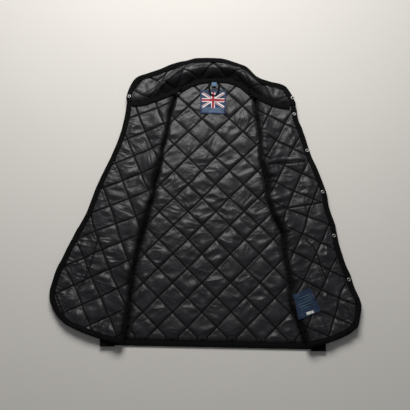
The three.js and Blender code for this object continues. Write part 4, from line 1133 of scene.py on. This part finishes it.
class VEST_OT_back(bpy.types.Operator):
    """Makes the back: quilted, lining up, between its hem, side edges and neck line"""
    bl_idname = "vest.back"
    bl_label = "Back"

    def execute(self, context):
        cloth = context.scene.vest_cloth
        rows = steps_for(690.0, cloth.back_step_mm)
        columns = steps_for(400.0, cloth.back_step_mm)
        right_fold = fold_border(RIGHT_FRONT, HEM_AT_RIGHT[1], rows)
        left_fold = fold_border(LEFT_FRONT, HEM_AT_LEFT[1], rows)
        neck_from, neck_to = right_fold[0, 0] + 3.0, left_fold[0, 0] - 3.0
        between = NECK_LINE[(NECK_LINE[:, 0] > neck_from) & (NECK_LINE[:, 0] < neck_to)]
        between = between - (0, SEAM_GAP)
        top = even_path(np.vstack([right_fold[:1], between, left_fold[:1]]), columns)
        bottom = even_path(np.vstack([right_fold[-1:], left_fold[-1:]]), columns)
        grid = lay_grid(right_fold, left_fold, top, bottom)
        right_side = even_path(side_border(RIGHT["side_cut"], HEM_AT_RIGHT[1]), rows)
        left_side = even_path(side_border(LEFT["side_cut"], HEM_AT_LEFT[1]), rows)
        share = np.linspace(0, 1, 17)[None, :, None]
        grid = np.concatenate([mix(right_side[:, None], right_fold[:, None], share)[:, :-1], grid,
                               mix(left_fold[:, None], left_side[:, None], share)[:, 1:]], axis=1)
        x, y = grid[..., 0], grid[..., 1]
        height, painted_shade = back_wall(x, y, cloth)
        back = add_wall("lining_back", join(x, y, height), join(x, y, 0.0), painted_shade)
        settle(back, "back")
        hem = even_path(np.array([HEM_AT_RIGHT, HEM_AT_LEFT]), 361)
        strip = braid_strip("braid_back_hem", hem, join,
                            lambda u: np.full(len(u), BACK_HIDDEN - 0.5))
        settle(strip, "back_hem_binding")
        return {"FINISHED"}


def fold_border(front, hem_y, rows):
    """A line along the back just under a fold, from the neck line to inside the hem's braid."""
    q = np.linspace(0.0, front["length"] - BRAID_WIDTH, rows)
    border = join(*lay_out(front, np.full(rows, UNDER_FOLD), q))
    border[:, 1] -= SEAM_GAP + 1.0
    border[-1, 1] = hem_y + BRAID_WIDTH - UNDER_BRAID
    return border


def side_border(points, hem_y):
    """A side edge of the back from the shoulder down, ended inside the hem's braid."""
    path = np.array(points, float)
    path[-1, 1] = hem_y + BRAID_WIDTH - UNDER_BRAID
    return np.vstack([smooth_path(path[:5], 80), path[5:]])


class VEST_OT_fronts(bpy.types.Operator):
    """Makes both fronts, each folded back over itself at a soft roll, with its bound edge"""
    bl_idname = "vest.fronts"
    bl_label = "Fronts"

    def execute(self, context):
        cloth = context.scene.vest_cloth
        for front in (RIGHT_FRONT, LEFT_FRONT):
            name = front["name"]
            self.make_panel(front, name, cloth)
            strip = braid_strip(
                f"braid_front_{name}", front["cut"],
                lambda u, v, t, f=front: lay_front(f, u, v, t),
                lambda u: mix(BRAID_HEIGHT_IN_ROLL, BRAID_HEIGHT, smooth((u - TURN_FROM) / TURN_RUN)))
            settle(strip, f"front_binding_{name}")
        return {"FINISHED"}

    def make_panel(self, front, name, cloth):
        """The fine part lies between the hidden layer, the bound edge, the neck and the hem. The
        hidden layer runs on from it to the side seam in the same rows."""
        cut = front["cut"]
        inset = cut + left_normals(cut) * 9.0
        corner = upper_cut(front, [front["corner"]])[0]
        turn_at = int(np.argmin(np.linalg.norm(cut - corner, axis=1)))
        hidden_from = -10.0
        past_roll = turn_at + int(np.argmax(inset[turn_at:, 0] < hidden_from))
        neck_cut = upper_cut(front, neck_of(front)) + (0, SEAM_GAP)
        start = np.array([[hidden_from, SEAM_GAP], [0, SEAM_GAP], [ROLL_DEVELOPED, SEAM_GAP]])
        top_line = np.vstack([start, neck_cut[:-1], inset[:1]])
        rows = steps_for(660.0, cloth.step_mm)
        columns = steps_for(lengths_along(top_line)[-1] + 60.0, cloth.step_mm)
        left = even_path(np.array([(hidden_from, SEAM_GAP), inset[past_roll]]), rows)
        right = even_path(inset[:turn_at + 1], rows)
        top = even_path(top_line, columns)
        bottom = even_path(inset[turn_at:past_roll + 1][::-1], columns)
        grid = lay_grid(left, right, top, bottom)
        side_cut = lower_cut(front, front["side_cut"])
        reach = np.interp(left[:, 1], side_cut[:, 1], side_cut[:, 0], left=hidden_from - 2.0)
        share = np.linspace(0, 1, 33)[None, :-1]
        hidden_p = mix(reach[:, None], hidden_from, share)
        hidden_q = np.broadcast_to(left[:, 1, None], hidden_p.shape)
        p = np.concatenate([hidden_p, grid[..., 0]], axis=1)
        q = np.concatenate([hidden_q, grid[..., 1]], axis=1)
        height, painted_shade = front_wall(front, p, q, cloth)
        panel = add_wall(f"lining_front_{name}", lay_front(front, p, q, height),
                         lay_front(front, p, q, 0.0), painted_shade)
        settle(panel, f"front_{name}")


class VEST_OT_collar(bpy.types.Operator):
    """Makes the stand collar with its two rolled creases, from the neck seam to its bound edge"""
    bl_idname = "vest.collar"
    bl_label = "Collar"

    def execute(self, context):
        cloth = context.scene.vest_cloth
        columns = steps_for(NECK_LENGTHS[-1], cloth.step_mm)
        rows = steps_for(78.0, cloth.step_mm)
        along = np.linspace(4.0, NECK_LENGTHS[-1] - 4.0, columns)
        at = np.interp(along, NECK_LENGTHS, np.linspace(0, len(NECK_POINTS) - 1, 1301))
        foot, head = curve_at(NECK_POINTS, at), curve_at(COLLAR_POINTS, at)
        reach = np.linalg.norm(head - foot, axis=1)
        row = np.linspace(0, 1, rows)[:, None]
        up = mix(SEAM_GAP, reach - 6.0, row)
        grid = foot + (head - foot) * (up / reach)[..., None]
        x, y = grid[..., 0], grid[..., 1]
        flat_along = np.broadcast_to(along[None, :], up.shape)
        height, painted_shade = quilting((COLLAR_QUILT_ORIGIN, 0.0), flat_along, up, 600, cloth)
        distance = np.minimum(distance_to(COLLAR_EDGE[::3], x, y) - BRAID_WIDTH,
                              distance_to(NECK_LINE, x, y))
        height = height + wave("collar_crumple", flat_along, 0.4 * up)
        height = height + wave("collar_crinkle", flat_along, 0.6 * up)
        height = near_edge(height, 2.5 * distance) + ridge_height(x, y)
        # Painted shade in the collar's hollow, within about 26 mm of the neck seam
        painted_shade = np.maximum(painted_shade, 0.8 * smooth((26.0 - up) / 20.0))
        rest = collar_rest(x, y)
        collar = add_wall("lining_collar", join(x, y, rest + np.maximum(height, 1.2)),
                          join(x, y, rest), painted_shade)
        settle(collar, "collar")
        strip = braid_strip(
            "braid_collar", COLLAR_EDGE[::-1],
            lambda u, v, t: join(u, v, collar_rest(u, v) + t),
            lambda u: np.full(len(u), BRAID_HEIGHT))
        settle(strip, "collar_binding")
        return {"FINISHED"}


class VEST_OT_neck_tape(bpy.types.Operator):
    """Makes the flat tape that covers the neck seam"""
    bl_idname = "vest.neck_tape"
    bl_label = "Neck tape"

    def execute(self, context):
        run = np.linspace(13.5, NECK_LENGTHS[-1] - 15.5, 321)
        path = walk(NECK_RUN, NECK_LENGTHS, run)
        normals = left_normals(path)
        inward = np.array([0.6, 0.9, 3.5, 6.5, 9.5, 12.3, 12.6])
        crown = np.array([0.0, 0.6, 1.0, 1.1, 1.0, 0.6, 0.0])
        x = path[:, 0, None] - normals[:, 0, None] * inward
        y = path[:, 1, None] - normals[:, 1, None] * inward
        ripple = wave("tape_ripple", run[:, None], inward)
        bed = tape_bed(x, y)
        upper = join(x, y, bed + 0.4 + crown + ripple * (crown > 0.3))
        sections = np.concatenate([upper, join(x, y, bed)[:, ::-1]], axis=1)
        tape = add_tube("tape_neck_seam", sections, run, np.concatenate([inward, inward[::-1]]))
        settle(tape, "neck_tape")
        return {"FINISHED"}


def tape_bed(x, y):
    """The bed under the neck tape: the back's flat band, then up over each fold."""
    beds = []
    for front in (LEFT_FRONT, RIGHT_FRONT):
        s, _ = fold_coordinates(front, x, y)
        on_front = rest_height(front, x, y) + 4.4
        on_back = mix(4.2, BACK_HIDDEN, covered_share(s + 17.0))
        beds.append(mix(on_back, on_front, smooth((s + 15.0) / 9.0)))
    return np.maximum(beds[0], beds[1]) + SEAM_GAP


class VEST_OT_labels(bpy.types.Operator):
    """Makes the woven neck label, the size tab, the hanger loop, the care label and its patch"""
    bl_idname = "vest.labels"
    bl_label = "Labels"

    def execute(self, context):
        cloth = context.scene.vest_cloth
        grid, u, v = quad_grid(NECK_LABEL, 137, 139)
        x, y = grid[..., 0], grid[..., 1]
        height, _ = back_wall(x, y, cloth)
        label = add_cloth_patch("label_neck", join(x, y, soften(height, 9) + 1.9), LABEL_CLOTH,
                                "label", NECK_LABEL_SIZE, flag_threads(u, v))
        settle(label, "neck_label")

        grid, u, v = quad_grid(CARE_LABEL, 105, 93)
        care = add_cloth_patch("label_care", on_left_front(grid, cloth, 7, 1.8), LABEL_CLOTH,
                               "label", (46, 59), care_threads(u, v))
        settle(care, "care_label")

        grid, u, v = quad_grid(CARE_PATCH, 17, 41)
        patch = add_cloth_patch("label_care_patch", on_left_front(grid, cloth, 3, 2.5), 0.5,
                                "label", (20, 6), plain_threads(u.shape, "#dcdcd8"))
        settle(patch, "care_patch")

        loop = self.make_loop()
        grid, u, v = quad_grid(SIZE_TAB, 37, 39)
        x, y = grid[..., 0], grid[..., 1]
        bow = 0.5 * np.sin(math.pi * v) + wave("tab_ripple", x, y)
        tab = add_cloth_patch("size_tab_cloth", join(x, y, LOOP["bed"] + 2.4 + bow), LABEL_CLOTH,
                              "label", (15, 13), plain_threads(u.shape, "#5f7f9e"))
        settle(tab, "size_tab")
        return {"FINISHED"}

    def make_loop(self):
        """A flat tape along a half round path: the cosine of a half turn across, and a power of its
        sine down, so that the loop hangs full."""
        turn = np.linspace(0, math.pi, 121)
        path = join(LOOP["x"] - LOOP["half_span"] * np.cos(turn),
                    LOOP["y"] - LOOP["drop"] * np.sin(turn) ** LOOP["fullness"])
        normals = left_normals(path)
        across, lift = np.array([(0.0, 0.1), (0.4, 1.0), (2.4, 1.25), (4.4, 1.0), (4.8, 0.1),
                                 (2.4, 0.0)]).T
        sections = join(path[:, 0, None] + normals[:, 0, None] * across,
                        path[:, 1, None] + normals[:, 1, None] * across, LOOP["bed"] + lift)
        loop = add_tube("hanger_loop_tape", sections, lengths_along(path), across)
        settle(loop, "hanger_loop")
        return loop


def on_left_front(grid, cloth, window, lift):
    """Places over the left front's softened lining side, lifted from it."""
    flat = upper_cut(LEFT_FRONT, grid)
    p, q = flat[..., 0], flat[..., 1]
    height, _ = front_wall(LEFT_FRONT, p, q, cloth)
    return lay_front(LEFT_FRONT, p, q, soften(height, window) + lift)


def soften(height, window):
    """A mean over a square window of the grid, as stiff label cloth bridges small puckers: sums
    from the grid's corner, added and taken away at the window's four corners."""
    padded = np.pad(height, window, mode="edge")
    total = np.cumsum(np.cumsum(padded, axis=0), axis=1)
    total = np.pad(total, ((1, 0), (1, 0)))
    size = 2 * window + 1
    rows, columns = height.shape
    area = (total[size:size + rows, size:size + columns] - total[:rows, size:size + columns]
            - total[size:size + rows, :columns] + total[:rows, :columns])
    return area / size ** 2


def plain_threads(shape, hex_colour):
    """One thread colour all over."""
    return np.broadcast_to(np.array([*linear(hex_colour), 1.0]), (*shape, 4)).copy()


def paint(threads, where, hex_colour):
    """Gives the threads at the marked places a colour."""
    threads[where] = (*linear(hex_colour), 1.0)


def flag_threads(u, v):
    """Thread colours of the neck label: a navy ground, and in its upper half the flag of the
    United Kingdom in its plain standard proportions, woven small, over a plain fleck band. u runs
    across, v down."""
    threads = plain_threads(u.shape, "#1f3455")
    width, height = 60.0, 40.0
    x = (u - FLAG_CENTRE[0]) * NECK_LABEL_SIZE[0] / FLAG_SIZE[0] * width
    y = (FLAG_CENTRE[1] - v) * NECK_LABEL_SIZE[1] / FLAG_SIZE[1] * height
    inside = (np.abs(x) <= width / 2) & (np.abs(y) <= height / 2)
    slope = math.hypot(width, height)
    rising = (x * height - y * width) / slope
    falling = (x * height + y * width) / slope
    white = (np.abs(rising) < 3) | (np.abs(falling) < 3)
    clockwise = np.where(x > 0, 1.0, -1.0)
    red = ((rising * clockwise > 0) & (rising * clockwise < 2) & (x * y > 0))
    red = red | ((falling * clockwise < 0) & (falling * clockwise > -2) & (x * y < 0))
    band = (v > 0.73) & (v < 0.95) & (u > 0.07) & (u < 0.93)
    paint(threads, band & (np.sin(u * 150.0) * np.sin(v * 75.0) > -0.3), "#5d7391")
    paint(threads, inside & white, "#f2f2f4")
    paint(threads, inside & red, "#b0303f")
    paint(threads, inside & ((np.abs(x) < 5) | (np.abs(y) < 5)), "#f2f2f4")
    paint(threads, inside & ((np.abs(x) < 3) | (np.abs(y) < 3)), "#b0303f")
    return threads


def care_threads(u, v):
    """Thread colours of the care label: navy with a few plain pale lines of weaving."""
    threads = plain_threads(u.shape, "#122a48")
    rows = np.abs(v * 9.0 - np.round(v * 9.0)) < 0.11
    inside = (u > 0.14) & (u < 0.86) & (v > 0.16) & (v < 0.72)
    paint(threads, rows & inside, "#45636f")
    return threads


class VEST_OT_pocket(bpy.types.Operator):
    """Makes the welt of the inner pocket on the wearer's left front"""
    bl_idname = "vest.pocket"
    bl_label = "Pocket welt"

    def execute(self, context):
        top = smooth_path(np.array(WELT_TOP, float), 121)
        low = smooth_path(np.array(WELT_LOW, float), 121)
        share = np.linspace(0, 1, 17)[:, None, None]
        crown = np.sin(math.pi * np.clip(share[..., 0] * 1.04, 0, 1)) ** 0.5
        upper = on_left_front(mix(top[None], low[None], share), context.scene.vest_cloth, 6,
                              0.6 + 2.2 * crown)
        length = float(lengths_along(top)[-1])
        welt = add_cloth_patch("welt_inner_pocket", upper, 1.6, "lining", (length, WELT_HEIGHT))
        settle(welt, "pocket_welt")
        return {"FINISHED"}


class VEST_OT_side_tabs(bpy.types.Operator):
    """Makes the ribbed tabs at the ends of the side seams"""
    bl_idname = "vest.side_tabs"
    bl_label = "Side tabs"

    def execute(self, context):
        for name, near, hem in (("right", *HEM_AT_RIGHT),
                                ("left", HEM_AT_LEFT[0] - TAB_LENGTH, HEM_AT_LEFT[1])):
            far, low = near + TAB_LENGTH, hem - TAB_BELOW_HEM
            high = low + TAB_HEIGHT
            grid, u, v = quad_grid(((near, high), (far, high), (far, low), (near, low)), 33, 41)
            edge = np.minimum(np.minimum(u, 1 - u) * TAB_LENGTH, np.minimum(v, 1 - v) * TAB_HEIGHT)
            round_over = np.sqrt(np.clip(edge / 1.5, 0, 1))
            upper = join(grid[..., 0], grid[..., 1], 9.6 + round_over)
            tab = add_cloth_patch(f"tab_side_{name}", upper, 1.0, "braid", (TAB_LENGTH, TAB_HEIGHT))
            settle(tab, f"side_tab_{name}")
        return {"FINISHED"}


class VEST_OT_snaps(bpy.types.Operator):
    """Makes the ring sockets of the snaps on the collar's ends and the wearer's left edge"""
    bl_idname = "vest.snaps"
    bl_label = "Snaps"

    def execute(self, context):
        profile = np.array([
            (1.9, 0.0), (4.3, 0.0), (4.6, 0.3), (4.6, 0.8), (4.3, 1.2), (3.8, 1.5), (3.2, 1.6),
            (2.6, 1.5), (2.1, 1.1), (1.9, 0.7),
        ])
        turn = np.arange(SNAP_SIDES)[:, None] / SNAP_SIDES * 2 * math.pi
        index = np.arange(SNAP_SIDES * len(profile)).reshape(SNAP_SIDES, len(profile))
        after = np.roll(index, -1, axis=0)
        faces = join(index, after, np.roll(after, -1, axis=1), np.roll(index, -1, axis=1))
        faces = faces.reshape(-1, 4).tolist()
        for name, (x, y) in SNAPS.items():
            spot = (np.array([float(x)]), np.array([float(y)]))
            bed = collar_rest(*spot) if "collar" in name else rest_height(LEFT_FRONT, *spot)
            rows = join(x + np.cos(turn) * profile[:, 0], y + np.sin(turn) * profile[:, 0],
                        bed + BRAID_HEIGHT + SEAM_GAP + profile[:, 1])
            snap = add_mesh(f"ring_{name}", rows, facing_out(rows, faces), finish_of("nickel"))
            settle(snap, name)
        return {"FINISHED"}


class VEST_OT_stage(bpy.types.Operator):
    """Lays the pale floor and sets the soft light"""
    bl_idname = "vest.stage"
    bl_label = "Stage"

    def execute(self, context):
        stage = context.scene.vest_stage
        corners = [(x * FLOOR_HALF, y * FLOOR_HALF, -FLOOR_BELOW)
                   for x, y in ((-1, -1), (1, -1), (1, 1), (-1, 1))]
        floor = add_mesh("floor", corners, [[0, 1, 2, 3]], finish_of("floor"), smooth_shaded=False)
        data = bpy.data.lights.new("window", "AREA")
        data.shape = "RECTANGLE"
        data.size, data.size_y = WINDOW_SIZE
        data.energy = stage.key_power
        data.color = WINDOW_COLOUR
        key = bpy.data.objects.new("window", data)
        key.location = WINDOW_PLACE
        aim = np.array(WINDOW_AIM) - np.array(WINDOW_PLACE)
        key.rotation_euler = (math.atan2(math.hypot(aim[0], aim[1]), -aim[2]), 0.0,
                              math.atan2(-aim[0], aim[1]))
        context.scene.collection.objects.link(key)
        world = bpy.data.worlds.new("room")
        world.use_nodes = True
        background = world.node_tree.nodes["Background"]
        background.inputs["Color"].default_value = (*ROOM_COLOUR, 1.0)
        background.inputs["Strength"].default_value = stage.fill
        context.scene.world = world
        context.scene.view_settings.view_transform = "Standard"
        return {"FINISHED"}


class VEST_PT_panel(bpy.types.Panel):
    """The vest's steps and settings in the 3D view's sidebar"""
    bl_label = "Vest"
    bl_idname = "VEST_PT_panel"
    bl_space_type = "VIEW_3D"
    bl_region_type = "UI"
    bl_category = "Vest"

    def draw(self, context):
        for group in ("vest_cloth", "vest_colours", "vest_stage"):
            settings = getattr(context.scene, group)
            for key in settings.__annotations__:
                self.layout.prop(settings, key)
        for step in STEPS:
            self.layout.operator(step.bl_idname)


SETTINGS = {"vest_cloth": ClothSettings, "vest_colours": ColourSettings, "vest_stage": StageSettings}
STEPS = (VEST_OT_camera, VEST_OT_back, VEST_OT_fronts, VEST_OT_collar, VEST_OT_neck_tape,
         VEST_OT_labels, VEST_OT_pocket, VEST_OT_side_tabs, VEST_OT_snaps, VEST_OT_stage)


def register():
    """Registers the classes and hangs the settings on the scene."""
    for kind in (*SETTINGS.values(), *STEPS, VEST_PT_panel):
        bpy.utils.register_class(kind)
    for key, kind in SETTINGS.items():
        setattr(bpy.types.Scene, key, bpy.props.PointerProperty(type=kind))


def unregister():
    """Takes all that back."""
    for key in SETTINGS:
        delattr(bpy.types.Scene, key)
    for kind in reversed((*SETTINGS.values(), *STEPS, VEST_PT_panel)):
        bpy.utils.unregister_class(kind)


def main():
    """Runs each step once."""
    register()
    for step in STEPS:
        group, name = step.bl_idname.split(".")
        getattr(getattr(bpy.ops, group), name)()


if __name__ == "__main__":
    main()
